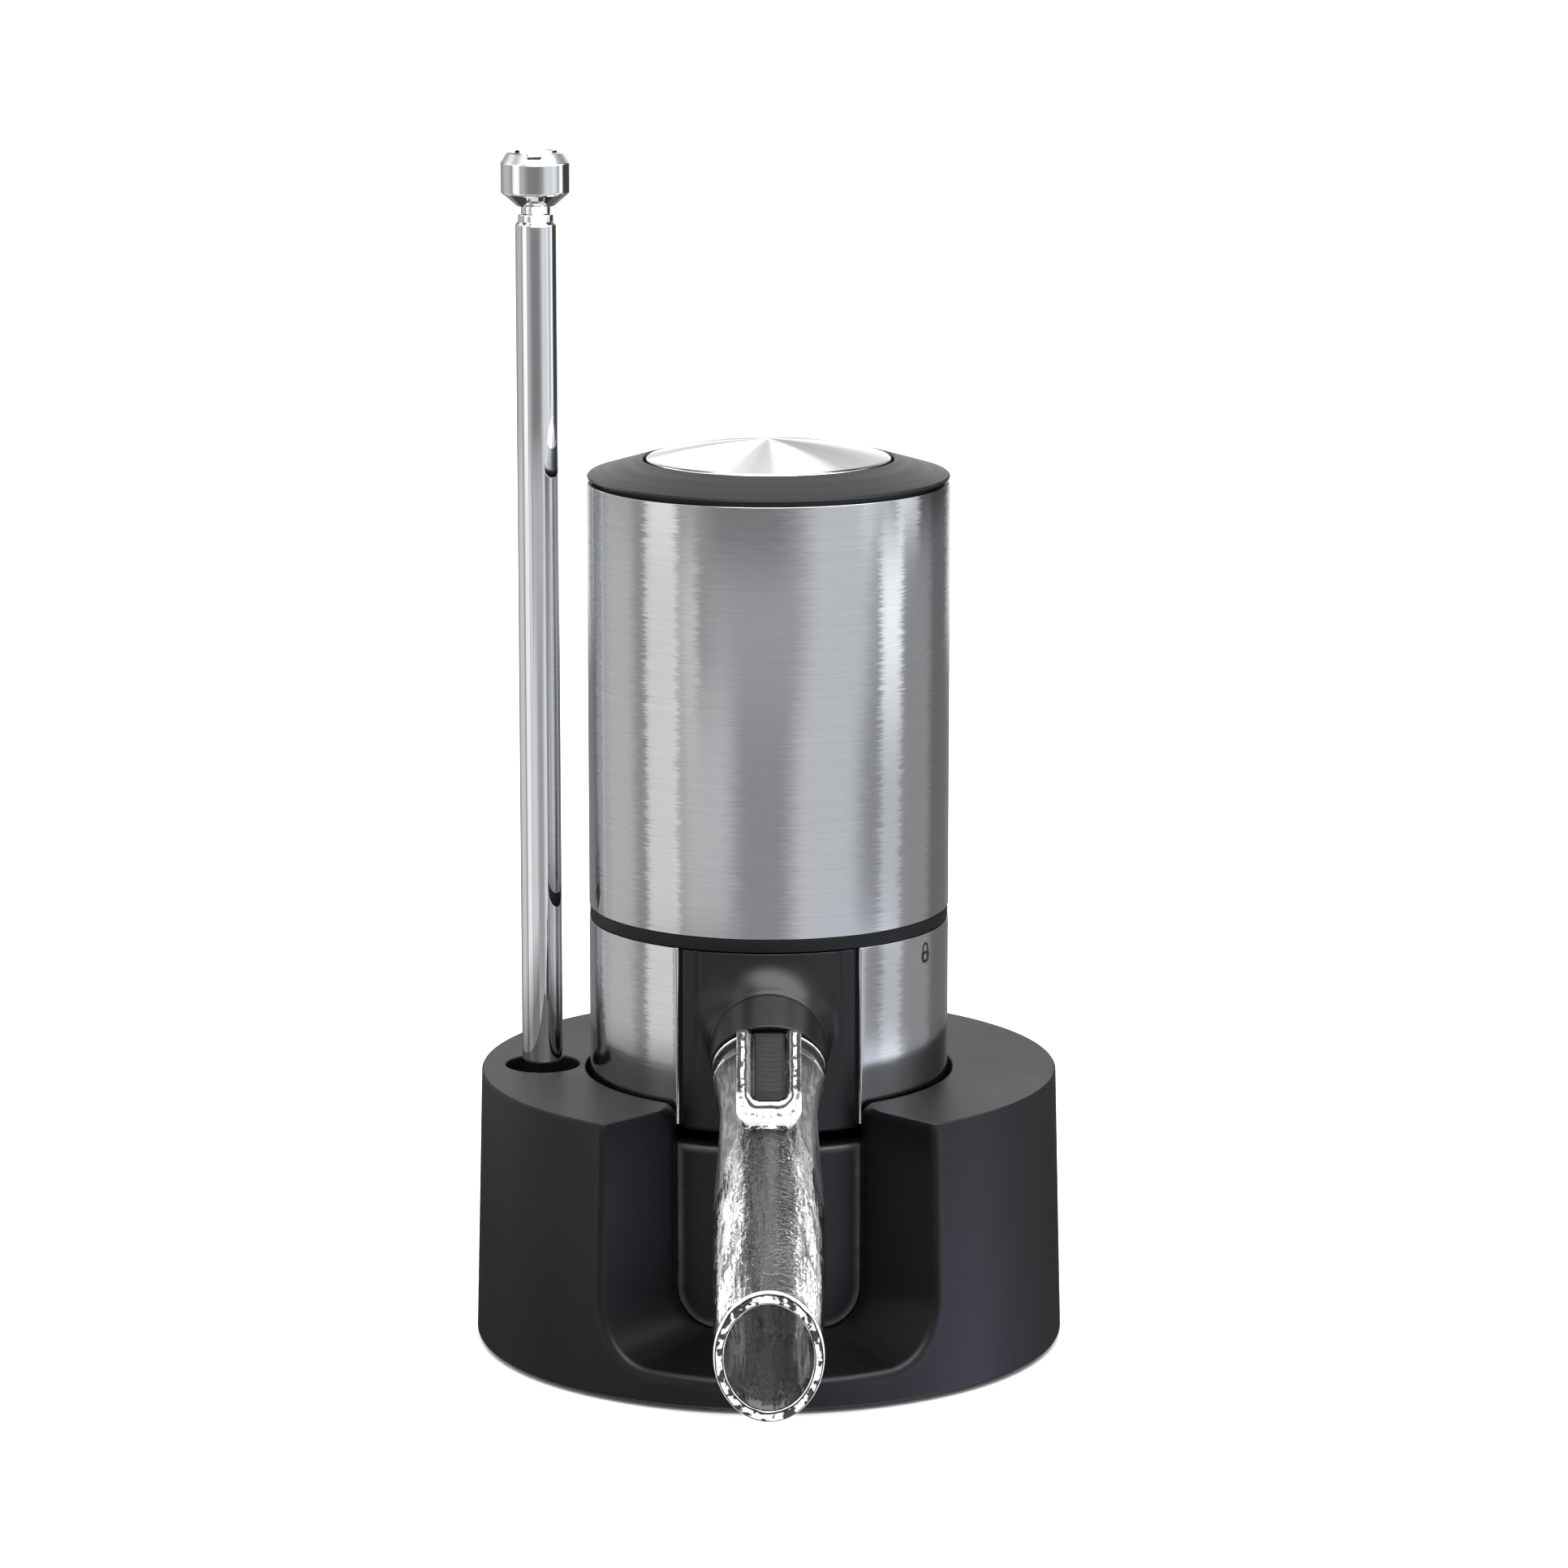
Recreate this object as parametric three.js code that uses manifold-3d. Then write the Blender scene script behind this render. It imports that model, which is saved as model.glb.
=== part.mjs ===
// Electric wine aerator docked in its stand. Millimetres, +Z up.
// Origin: centre of the stand's flat underside, on the axis of the body.
// The front (spout side) faces -Y, the stored suction tube stands at -X.
import * as THREE from 'three';
import { mergeVertices } from 'three/addons/utils/BufferGeometryUtils.js';
import Module from 'manifold-3d';

const wasm = await Module();
wasm.setup();

// ---------------------------------------------------------------- dimensions
const BODY_R = 30.0;            // steel sleeves, outer radius
const SLEEVE_T = 0.8;           // sleeve sheet thickness

const STAND_R0 = 49.4;          // stand radius at the table
const STAND_R1 = 48.2;          // stand radius at the deck
const STAND_H = 46.06;          // deck height
const STAND_WALL = 2.2;
const WELL_R = 30.8;            // round well that takes the body
const HOLE_X = -38.05;          // axis of the suction tube and of its hole
const HOLE_Y = 0.45;
const HOLE_R = 6.2;
const BOSS_PCD_R = 40.0;        // screw boss circle of the stand

const NOTCH_HALF = 15.1;        // notch half width between the well and NOTCH_Y0
const NOTCH_Y0 = -29.3;         // from here the walls splay
const NOTCH_SPLAY = 1.09;       // widening per mm towards the front
const NOTCH_FLOOR0 = 8.6;       // floor height at y = -30.5
const NOTCH_SLOPE = 0.162;      // floor drop per mm towards the front
const NOTCH_CORNER = 6.0;

const CUP_R = 30.3;             // cradle cup
const CUP_TOP = 39.5;
const LEDGE_Z = 28.2;           // ledge that carries the collar

const LOWER_Z0 = 42.3;          // lower sleeve
const LOWER_Z1 = 72.0;
const PANEL_AZ = 28.5;          // half angle of the front panel, degrees
const SLIT_AZ = 29.7;           // half angle of the opening of the C-shaped sleeve
const CORE_Z0 = 41.5;
const CORE_Z1 = 71.9;
const SEAM_Z1 = 74.1;           // top of the black seam band
const UPPER_Z0 = 74.3;          // upper sleeve
const UPPER_Z1 = 145.2;

const LUG_AZ = [30, 150, 270];  // bayonet lugs on the neck
const TWIST = 50;               // head turns this far clockwise to lock

const CAP_Z0 = 145.85;          // cap ring
const BUTTON_R = 20.3;
const BUTTON_TOP = 152.3;

const SPOUT_TILT = 35 * Math.PI / 180;   // spout axis below the horizontal
const SPOUT_Y = -32.6;          // centre of the boss end face
const SPOUT_Z = 54.0;
const MOUTH_Y = -82.0;          // upright plane of the mouth cut

// ---------------------------------------------------------------- materials
const mat = (color, roughness, metalness, extra = {}) =>
  new THREE.MeshStandardMaterial({ color, roughness, metalness, ...extra });
const M = {
  standBlack: mat(0x3a3c3e, 0.55, 0.0),
  black: mat(0x2a2b2d, 0.5, 0.0),
  steel: mat(0xc3c4c6, 0.32, 1.0),
  satin: mat(0x8b8c8e, 0.38, 1.0),
  spun: mat(0xe0e0e2, 0.25, 1.0),
  chrome: mat(0xe6e7e8, 0.08, 1.0),
  clear: mat(0xf4f6f6, 0.05, 0.0, { transparent: true, opacity: 0.35 }),
  rubber: mat(0x1b1b1c, 0.85, 0.0),
  pad: mat(0x202122, 0.9, 0.0),
  inner: mat(0x4a4c50, 0.6, 0.0),
  cell: mat(0x3f5f4a, 0.4, 0.3),
  brass: mat(0xc9a85a, 0.35, 1.0),
  zinc: mat(0x9fa2a5, 0.4, 1.0),
  board: mat(0x1f5a3a, 0.6, 0.0),
};

// ---------------------------------------------------------------- helpers
const rad = (d) => d * Math.PI / 180;

// One closed indexed surface, faces out.
function clean(geometry) {
  const g = geometry.clone();
  g.deleteAttribute('normal');
  g.deleteAttribute('uv');
  const m = mergeVertices(g, 1e-4);
  const p = m.attributes.position.array;
  const src = m.index.array;
  const idx = [];
  let volume = 0;
  for (let i = 0; i < src.length; i += 3) {
    const [a, b, c] = [src[i], src[i + 1], src[i + 2]];
    if (a === b || b === c || a === c) continue;
    idx.push(a, b, c);
    const [ax, ay, az] = [p[3 * a], p[3 * a + 1], p[3 * a + 2]];
    const [bx, by, bz] = [p[3 * b], p[3 * b + 1], p[3 * b + 2]];
    const [cx, cy, cz] = [p[3 * c], p[3 * c + 1], p[3 * c + 2]];
    volume += ax * (by * cz - bz * cy) + ay * (bz * cx - bx * cz) + az * (bx * cy - by * cx);
  }
  if (volume < 0) for (let i = 0; i < idx.length; i += 3) [idx[i], idx[i + 1]] = [idx[i + 1], idx[i]];
  const out = new THREE.BufferGeometry();
  out.setAttribute('position', new THREE.BufferAttribute(new Float32Array(p), 3));
  out.setIndex(idx);
  return out;
}

function solid(geometry) {
  const g = clean(geometry);
  return new wasm.Manifold(new wasm.Mesh({
    numProp: 3,
    vertProperties: new Float32Array(g.attributes.position.array),
    triVerts: new Uint32Array(g.index.array),
  }));
}

function surface(manifold) {
  const m = manifold.getMesh();
  const out = new THREE.BufferGeometry();
  const n = m.vertProperties.length / m.numProp;
  const pos = new Float32Array(n * 3);
  for (let i = 0; i < n; i += 1) {
    for (let k = 0; k < 3; k += 1) pos[3 * i + k] = m.vertProperties[i * m.numProp + k];
  }
  out.setAttribute('position', new THREE.BufferAttribute(pos, 3));
  out.setIndex(Array.from(m.triVerts));
  return clean(out);
}

const union = (first, ...rest) => rest.reduce((a, b) => a.add(b), first);
const minus = (first, ...rest) => rest.reduce((a, b) => a.subtract(b), first);

// Solid of revolution about Z. Points are [radius, z]; a profile that does not
// start and end on the axis is closed on itself.
function lathe(points, segments) {
  const p = points.map(([r, z]) => new THREE.Vector2(r, z));
  if (points[0][0] > 0 || points[points.length - 1][0] > 0) p.push(p[0].clone());
  return clean(new THREE.LatheGeometry(p, segments).rotateX(Math.PI / 2));
}

// Upright cylinder or cone between two heights.
function rod(r0, r1, z0, z1, segments, x = 0, y = 0) {
  return new THREE.CylinderGeometry(r1, r0, z1 - z0, segments)
    .rotateX(Math.PI / 2).translate(x, y, (z0 + z1) / 2);
}

const ring = (r0, r1, z0, z1, segments) =>
  lathe([[r0, z0], [r1, z0], [r1, z1], [r0, z1]], segments);

function block(x0, x1, y0, y1, z0, z1) {
  return new THREE.BoxGeometry(x1 - x0, y1 - y0, z1 - z0)
    .translate((x0 + x1) / 2, (y0 + y1) / 2, (z0 + z1) / 2);
}

// Ring sector between two angles (degrees, counter-clockwise from +X).
function sector(r0, r1, a0, a1, z0, z1, steps) {
  const s = new THREE.Shape();
  for (let i = 0; i <= steps; i += 1) {
    const a = rad(a0 + (a1 - a0) * i / steps);
    const [x, y] = [r1 * Math.cos(a), r1 * Math.sin(a)];
    if (i === 0) s.moveTo(x, y); else s.lineTo(x, y);
  }
  for (let i = steps; i >= 0; i -= 1) {
    const a = rad(a0 + (a1 - a0) * i / steps);
    s.lineTo(r0 * Math.cos(a), r0 * Math.sin(a));
  }
  s.closePath();
  return clean(new THREE.ExtrudeGeometry(s, { depth: z1 - z0, bevelEnabled: false, steps: 1 })
    .translate(0, 0, z0));
}

// Round tube (outer and inner radius) swept along points.
function sweep(points, rOut, rIn, sides, steps) {
  const s = new THREE.Shape();
  const hole = new THREE.Path();
  for (let i = 0; i <= sides; i += 1) {
    const a = (i / sides) * Math.PI * 2;
    const [c, d] = [Math.cos(a), Math.sin(a)];
    if (i === 0) { s.moveTo(rOut * c, rOut * d); hole.moveTo(rIn * c, rIn * d); }
    else if (i < sides) { s.lineTo(rOut * c, rOut * d); hole.lineTo(rIn * c, rIn * d); }
  }
  s.closePath();
  hole.closePath();
  if (rIn > 0) s.holes.push(hole);
  const curve = new THREE.CatmullRomCurve3(points.map((q) => new THREE.Vector3(...q)), false, 'centripetal');
  return clean(new THREE.ExtrudeGeometry(s, { steps, bevelEnabled: false, extrudePath: curve }));
}

// Outline with a round far end, in the plane of x and s.
function tongue(half, s0, s1, steps) {
  const o = new THREE.Shape();
  o.moveTo(-half, s0);
  o.lineTo(half, s0);
  for (let i = 0; i <= steps; i += 1) {
    const a = Math.PI * i / steps;
    o.lineTo(half * Math.cos(a), s1 - half + half * Math.sin(a));
  }
  o.closePath();
  return o;
}

// The same outline raised between two heights above the spout axis. In the spout
// frame x is across, y is up from the axis and z runs along it.
function raised(half, s0, s1, t0, t1, steps) {
  return new THREE.ExtrudeGeometry(tongue(half, s0, s1, steps), { depth: t1 - t0, bevelEnabled: false, steps: 1 })
    .rotateX(Math.PI / 2).translate(0, t1, 0);
}

const root = new THREE.Group();
root.name = 'electric_wine_aerator';
function add(parent, name, geometry, material) {
  const mesh = new THREE.Mesh(geometry, material.clone());
  mesh.name = name;
  parent.add(mesh);
  return mesh;
}

// ---------------------------------------------------------------- the notch
// U-shaped space that widens towards the front and whose floor falls outwards.
function notch(grow) {
  const h = NOTCH_HALF + grow;
  const c = NOTCH_CORNER + grow;
  const u = new THREE.Shape();
  u.moveTo(h, 70);
  u.lineTo(-h, 70);
  for (let i = 0; i <= 5; i += 1) {
    const a = Math.PI + (Math.PI / 2) * i / 5;
    u.lineTo(-h + c + c * Math.cos(a), c - grow + c * Math.sin(a));
  }
  for (let i = 0; i <= 5; i += 1) {
    const a = 1.5 * Math.PI + (Math.PI / 2) * i / 5;
    u.lineTo(h - c + c * Math.cos(a), c - grow + c * Math.sin(a));
  }
  u.closePath();
  // Drawn in x and height, with sections at y -22, NOTCH_Y0 and -56.
  const g = new THREE.ExtrudeGeometry(u, { depth: 2, bevelEnabled: false, steps: 2 });
  const p = g.attributes.position;
  for (let i = 0; i < p.count; i += 1) {
    const y = [-22, NOTCH_Y0, -56][Math.round(p.getZ(i))];
    const wide = NOTCH_HALF + NOTCH_SPLAY * Math.max(0, NOTCH_Y0 - y);
    const k = wide / NOTCH_HALF;
    const floor = NOTCH_FLOOR0 - NOTCH_SLOPE * (-30.5 - y);
    const extra = Math.abs(p.getX(i)) - NOTCH_HALF;
    const x = grow !== 0 && extra > 0 ? Math.sign(p.getX(i)) * (wide + extra) : p.getX(i) * k;
    p.setXYZ(i, x, y, floor + p.getY(i) * (p.getY(i) > 0 ? k : 1));
  }
  return g;
}

// ---------------------------------------------------------------- stand
const stand = new THREE.Group();
stand.name = 'stand';
root.add(stand);

const standRadius = (z) => STAND_R0 + (STAND_R1 - STAND_R0) * z / STAND_H;
{
  const outer = solid(lathe([
    [0, 0.7], [48.8, 0.7], [standRadius(1.4), 1.4], [standRadius(45.2), 45.2],
    [47.4, STAND_H], [0, STAND_H],
  ], 48));
  const cavity = solid(lathe([
    [0, -1], [standRadius(0) - STAND_WALL, -1], [STAND_R1 - STAND_WALL, STAND_H - 2.4], [0, STAND_H - 2.4],
  ], 48));
  const walls = union(
    solid(rod(WELL_R + 2.0, WELL_R + 2.0, 4.0, 45, 36)),
    solid(rod(HOLE_R + 1.8, HOLE_R + 1.8, 4.0, 45, 16, HOLE_X, HOLE_Y)),
    solid(notch(2.2)),
  );
  const bosses = [45, 135, 225, 315].map((a) =>
    solid(rod(3.0, 3.0, 4.0, 44.5, 8, BOSS_PCD_R * Math.cos(rad(a)), BOSS_PCD_R * Math.sin(rad(a)))));
  const keep = union(walls, ...bosses).intersect(outer).intersect(solid(rod(60, 60, 4.0, 60, 24)));
  let shell = union(minus(outer, cavity), keep);
  shell = minus(
    shell,
    solid(rod(WELL_R, WELL_R, -2, 60, 40)),
    solid(rod(HOLE_R, HOLE_R, 5.9, 60, 20, HOLE_X, HOLE_Y)),
    solid(notch(0)),
    ...[45, 135, 225, 315].map((a) =>
      solid(rod(1.55, 1.55, -2, 12.5, 8, BOSS_PCD_R * Math.cos(rad(a)), BOSS_PCD_R * Math.sin(rad(a))))),
  );
  add(stand, 'stand_shell', surface(shell), M.standBlack);
}
{
  const cup = solid(lathe([
    [0, 4.2], [19.0, 4.2], [19.0, 26.2], [24.9, 26.2], [24.9, 37.5], [28.3, 37.5], [28.3, 4.0],
    [CUP_R, 4.0], [CUP_R, CUP_TOP], [22.9, CUP_TOP], [22.9, LEDGE_Z], [17.0, LEDGE_Z], [17.0, 6.0], [0, 6.0],
  ], 32));
  // Raised panel that fills the notch's inner end.
  const panel = solid(rod(31.1, 31.1, 7.0, CUP_TOP, 40))
    .intersect(solid(notch(-0.35))).subtract(solid(rod(29.3, 29.3, 0, 60, 32)));
  add(stand, 'cradle_cup', surface(union(cup, panel)), M.standBlack);
}
{
  let plate = solid(rod(46.7, 46.7, 1.6, 3.7, 36));
  for (const a of [45, 135, 225, 315]) {
    const [x, y] = [BOSS_PCD_R * Math.cos(rad(a)), BOSS_PCD_R * Math.sin(rad(a))];
    plate = minus(plate, solid(rod(2.9, 2.9, 0, 2.9, 8, x, y)), solid(rod(1.55, 1.55, 0, 5, 8, x, y)));
  }
  add(stand, 'stand_bottom_plate', surface(plate), M.black);
  add(stand, 'non_slip_pad', clean(rod(46.5, 46.5, 0, 1.3, 36)), M.pad);
  [45, 135, 225, 315].forEach((a, i) => {
    const screw = add(stand, `stand_screw_${i + 1}`, lathe([
      [0, 1.7], [2.1, 1.7], [2.5, 2.1], [2.5, 2.6], [1.2, 2.6], [1.2, 11.0], [0, 12.0],
    ], 8), M.zinc);
    screw.position.set(BOSS_PCD_R * Math.cos(rad(a)), BOSS_PCD_R * Math.sin(rad(a)), 0);
  });
}

// ---------------------------------------------------------------- lower unit
const lower = new THREE.Group();
lower.name = 'lower_unit';
root.add(lower);

// Spout frame: x across, y up from the spout axis, z outwards along it.
const axisOut = new THREE.Vector3(0, -Math.cos(SPOUT_TILT), -Math.sin(SPOUT_TILT));
const axisUp = new THREE.Vector3(0, -Math.sin(SPOUT_TILT), Math.cos(SPOUT_TILT));
const spoutFrame = new THREE.Matrix4()
  .makeBasis(new THREE.Vector3(1, 0, 0), axisUp, axisOut)
  .setPosition(0, SPOUT_Y, SPOUT_Z);
const spoutInverse = spoutFrame.clone().invert();
const inSpoutFrame = (g) => g.clone().applyMatrix4(spoutFrame);
const alongSpout = (y, z) => {   // world y and z of the point at distance z along and y above the axis
  const v = new THREE.Vector3(0, y, z).applyMatrix4(spoutFrame);
  return [0, v.y, v.z];
};

// The front is at -90 degrees; the sleeve leaves it open.
add(lower, 'lower_sleeve',
  sector(BODY_R - SLEEVE_T, BODY_R, -90 + SLIT_AZ, 270 - SLIT_AZ, LOWER_Z0, LOWER_Z1, 46), M.steel);
{
  let core = solid(lathe([
    [4.6, CORE_Z0], [28.9, CORE_Z0], [28.9, CORE_Z1], [26.9, CORE_Z1], [26.9, 43.7], [4.6, 43.7],
  ], 34));
  core = union(
    core,
    solid(sector(27.6, 29.6, -90 - PANEL_AZ, -90 + PANEL_AZ, CORE_Z0, CORE_Z1, 10)),
    solid(inSpoutFrame(rod(10.1, 9.45, -14, 0, 20))),
  );
  core = minus(
    core,
    solid(inSpoutFrame(rod(7.55, 7.55, -10.5, 4, 20))),
    solid(inSpoutFrame(rod(9.6, 9.6, 0, 14, 20))),   // seat of the spout's collar, sunk into the panel below
    solid(inSpoutFrame(rod(5.6, 5.6, -20, -10, 14))),
    solid(inSpoutFrame(block(-2.75, 2.75, 7.3, 8.7, -4.6, 2))),
    solid(rod(1.3, 1.3, 40, 45, 8, 0, 6.8)),
  );
  add(lower, 'lower_core', surface(core), M.black);
}
{
  let neck = solid(lathe([
    [1.6, 72.15], [29.5, 72.15], [29.5, SEAM_Z1], [24.0, SEAM_Z1], [24.0, 80.0], [22.0, 80.0],
    [22.0, SEAM_Z1], [5.2, SEAM_Z1], [5.2, 78.0], [3.6, 78.0], [3.6, 73.4], [1.6, 73.4],
  ], 32));
  neck = union(neck, ...LUG_AZ.map((a) => solid(sector(23.5, 25.9, a - 12, a + 12, 77.6, 79.6, 4))));
  add(lower, 'neck_plate', surface(neck), M.black);
}
add(lower, 'bottle_collar', lathe([
  [9.9, 39.3], [19.6, 39.3], [19.6, 28.6], [22.2, 28.6], [22.2, 41.2], [9.9, 41.2],
], 28), M.black);
{
  const stopper = minus(
    solid(lathe([
      [3.3, 14.5], [7.9, 14.5], [9.0, 17.0], [9.9, 19.5], [8.9, 20.7], [10.1, 26.0], [9.1, 27.2],
      [10.3, 32.5], [9.3, 33.7], [9.4, 41.2], [3.3, 41.2],
    ], 18)),
    solid(rod(1.2, 1.2, 10, 45, 8, 0, 6.8)),
  );
  add(lower, 'bottle_stopper', surface(stopper), M.rubber);
}
add(lower, 'suction_spigot', lathe([
  [1.9, 11.5], [2.7, 11.5], [3.0, 12.3], [3.0, 41.6], [4.3, 41.6], [4.3, 43.4], [1.9, 43.4],
], 10), M.black);
add(lower, 'wine_gooseneck', sweep([
  [0, 0, 43.8], [0, 0, 50], [0, 0, 56], [0, -3.2, 62.2], [0, -9.8, 65.6], alongSpout(0, -17.8), alongSpout(0, -12.1),
], 4.0, 1.9, 8, 11), M.inner);
add(lower, 'air_valve', lathe([
  [0, 70.2], [1.2, 70.2], [1.2, 70.9], [3.4, 71.2], [3.4, 71.8], [0, 71.8],
], 12), M.rubber);
add(lower, 'air_duct', sweep([
  [0, 1.0, 69.8], [0, 3.0, 68.0], [0, 6.2, 63.5], [0, 6.8, 58], [0, 6.8, 44.2],
], 1.8, 0.9, 6, 8), M.inner);

const spoutParts = new THREE.Group();
spoutParts.name = 'spout_frame';
spoutParts.applyMatrix4(spoutFrame);
lower.add(spoutParts);

add(spoutParts, 'aeration_insert', lathe([
  [1.0, -11.7], [5.3, -11.7], [5.3, -10.8], [2.6, -10.8], [1.6, -7.5], [1.0, -7.5],
], 14), M.inner);
{
  const tab = union(
    solid(raised(2.65, 0.4, 15.0, 7.5, 9.0, 8)),
    solid(block(-2.4, 2.4, 7.5, 8.35, -4.2, 0.6)),
  );
  add(spoutParts, 'spout_latch', surface(tab), M.black);
}
{
  const outside = union(
    solid(lathe([
      [0, -9.0], [7.2, -9.0], [7.2, -6.3], [6.7, -6.3], [6.7, -4.7], [7.2, -4.7], [7.2, 0.3], [9.2, 0.3],
      [9.2, 2.6], [8.75, 5.2], [8.0, 8.2], [7.75, 11.0], [8.1, 21.5], [8.5, 32.5], [8.6, 43.5], [8.64, 72], [0, 72],
    ], 20)),
    solid(raised(5.1, 0.3, 20.3, 4.0, 9.5, 10)),
  );
  const inside = solid(lathe([
    [0, -10], [5.2, -10], [5.2, 1.0], [6.0, 9.0], [6.35, 30.0], [6.6, 60.0], [6.6, 74], [0, 74],
  ], 18));
  const channel = solid(raised(3.3, -1.0, 15.65, 7.2, 14.0, 8));
  const beyond = solid(new THREE.BoxGeometry(60, 60, 80).translate(0, MOUTH_Y - 30, 10).applyMatrix4(spoutInverse));
  add(spoutParts, 'spout_tube', surface(minus(outside, inside, channel, beyond)), M.clear);
}
add(spoutParts, 'spout_oring',
  clean(new THREE.TorusGeometry(7.14, 0.24, 4, 18).translate(0, 0, -5.5)), M.rubber);

// ---------------------------------------------------------------- seal
add(root, 'seal_ring', ring(26.3, 28.3, 74.35, 75.35, 26), M.rubber);

// ---------------------------------------------------------------- head
const head = new THREE.Group();
head.name = 'head';
root.add(head);

add(head, 'upper_sleeve', ring(BODY_R - SLEEVE_T, BODY_R, UPPER_Z0, UPPER_Z1, 40), M.steel);
{
  const lock = union(
    solid(ring(26.4, 28.85, 75.65, 83.0, 32)),
    ...LUG_AZ.map((a) => solid(sector(24.4, 26.9, a + TWIST - 12, a + TWIST + 12, 75.8, 77.3, 4))),
  );
  add(head, 'head_lock_ring', surface(lock), M.black);
}
add(head, 'head_floor', ring(4.2, 26.0, 81.0, 82.8, 26), M.black);
{
  const parts = [
    solid(ring(13.4, 28.7, 84.0, 86.0, 28)),
    solid(ring(13.4, 28.7, 133.6, 135.6, 28)),
    solid(block(14.0, 28.2, -1.4, 1.4, 87.3, 134.0)),
    solid(block(-28.2, -14.0, -1.4, 1.4, 87.3, 134.0)),
    solid(block(-1.4, 1.4, 14.0, 28.2, 85.0, 131.9)),
    solid(block(-1.4, 1.4, -28.2, -14.0, 85.0, 134.0)),
    ...[90, 210, 330].map((a) => solid(rod(1.8, 1.8, 135.0, 136.9, 8, 16 * Math.cos(rad(a)), 16 * Math.sin(rad(a))))),
  ];
  add(head, 'head_chassis', surface(union(...parts)), M.inner);
}
[45, 135, 225, 315].forEach((a, i) => {
  const cell = add(head, `battery_cell_${i + 1}`, lathe([
    [0, 0], [5.25, 0], [5.25, 43.7], [1.9, 43.7], [1.9, 44.5], [0, 44.5],
  ], 14), M.cell);
  // Neighbouring cells stand opposite ways up.
  cell.position.set(21.3 * Math.cos(rad(a)), 21.3 * Math.sin(rad(a)), i % 2 ? 131.6 : 87.1);
  if (i % 2) cell.rotation.x = Math.PI;
});
add(head, 'contact_bridge_lower_right', sector(17.2, 25.4, -57, 57, 86.3, 86.7, 10), M.zinc);
add(head, 'contact_bridge_lower_left', sector(17.2, 25.4, 123, 237, 86.3, 86.7, 10), M.zinc);
add(head, 'contact_bridge_upper', sector(17.2, 25.4, 33, 147, 132.2, 132.6, 10), M.zinc);
add(head, 'contact_plate_minus', sector(17.2, 25.4, 213, 237, 132.2, 132.6, 3), M.zinc);
add(head, 'contact_plate_plus', sector(17.2, 25.4, 303, 327, 132.2, 132.6, 3), M.zinc);

add(head, 'pump_cover', lathe([
  [1.2, 75.2], [2.6, 75.2], [2.6, 83.3], [12.6, 83.3], [12.6, 85.9], [1.2, 85.9],
], 18), M.inner);
add(head, 'nozzle_oring', clean(new THREE.TorusGeometry(3.12, 0.34, 4, 14).translate(0, 0, 76.6)), M.rubber);
add(head, 'pump_housing', lathe([
  [2.0, 86.3], [12.8, 86.3], [12.8, 98.0], [10.9, 98.0], [10.9, 88.0], [2.0, 88.0],
], 18), M.inner);
{
  const skin = union(
    solid(rod(10.4, 10.4, 88.3, 89.3, 18)),
    ...[30, 150, 270].map((a) => solid(rod(3.3, 2.5, 89.0, 91.9, 8, 5.6 * Math.cos(rad(a)), 5.6 * Math.sin(rad(a))))),
  );
  add(head, 'pump_diaphragm', surface(skin), M.rubber);
}
add(head, 'wobble_plate', ring(1.4, 8.6, 92.2, 93.3, 14), M.inner);
add(head, 'motor_can', lathe([
  [1.7, 98.3], [12.2, 98.3], [12.2, 126.0], [11.5, 126.0], [11.5, 99.3], [1.7, 99.3],
], 20), M.zinc);
add(head, 'motor_end_cap', ring(1.4, 11.2, 124.7, 125.9, 16), M.inner);
add(head, 'magnet_front', sector(9.5, 11.1, 200, 340, 102, 122, 9), M.black);
add(head, 'magnet_rear', sector(9.5, 11.1, 20, 160, 102, 122, 9), M.black);
add(head, 'switch_board', clean(rod(18.0, 18.0, 137.1, 138.5, 20)), M.board);
{
  const body = minus(
    solid(block(-3.3, 3.3, -3.3, 3.3, 138.7, 143.0)),
    solid(rod(1.9, 1.9, 140.8, 145, 10)),
  );
  add(head, 'push_switch', surface(body), M.black);
}
add(head, 'cap_ring', lathe([
  [30.0, CAP_Z0], [30.0, 146.1], [29.7, 146.4], [21.2, 149.2], [20.75, 148.9], [20.75, 141.5],
  [22.0, 141.5], [22.0, 146.5], [27.2, 144.9], [27.2, 139.5], [28.8, 139.5], [28.8, CAP_Z0],
], 34), M.satin);

// Button.
const button = new THREE.Group();
button.name = 'button';
head.add(button);
add(button, 'button_disc', lathe([
  [0, 151.5], [19.3, 148.45], [BUTTON_R, 148.35], [BUTTON_R, 148.75], [19.7, 149.15], [1.2, BUTTON_TOP - 0.12], [0, BUTTON_TOP],
], 32), M.spun);
add(button, 'button_carrier', lathe([
  [0, 145.4], [3.0, 145.4], [3.0, 148.7], [18.7, 146.3], [18.7, 142.6], [20.15, 142.6], [20.15, 147.9], [19.3, 148.1], [0, 151.15],
], 28), M.black);
add(button, 'switch_plunger', clean(rod(1.5, 1.5, 142.6, 145.1, 12)), M.inner);
{
  class Helix extends THREE.Curve {
    getPoint(t, target = new THREE.Vector3()) {
      const a = t * 4.5 * Math.PI * 2;
      return target.set(6.0 * Math.cos(a), 6.0 * Math.sin(a), 139.1 + (147.6 - 139.1) * t);
    }
  }
  const wire = new THREE.Shape();
  for (let i = 0; i < 4; i += 1) {
    const a = i / 4 * Math.PI * 2;
    if (i === 0) wire.moveTo(0.32 * Math.cos(a), 0.32 * Math.sin(a));
    else wire.lineTo(0.32 * Math.cos(a), 0.32 * Math.sin(a));
  }
  wire.closePath();
  add(button, 'return_spring', clean(new THREE.ExtrudeGeometry(wire, {
    steps: 40, bevelEnabled: false, extrudePath: new Helix(),
  })), M.zinc);
}

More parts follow.
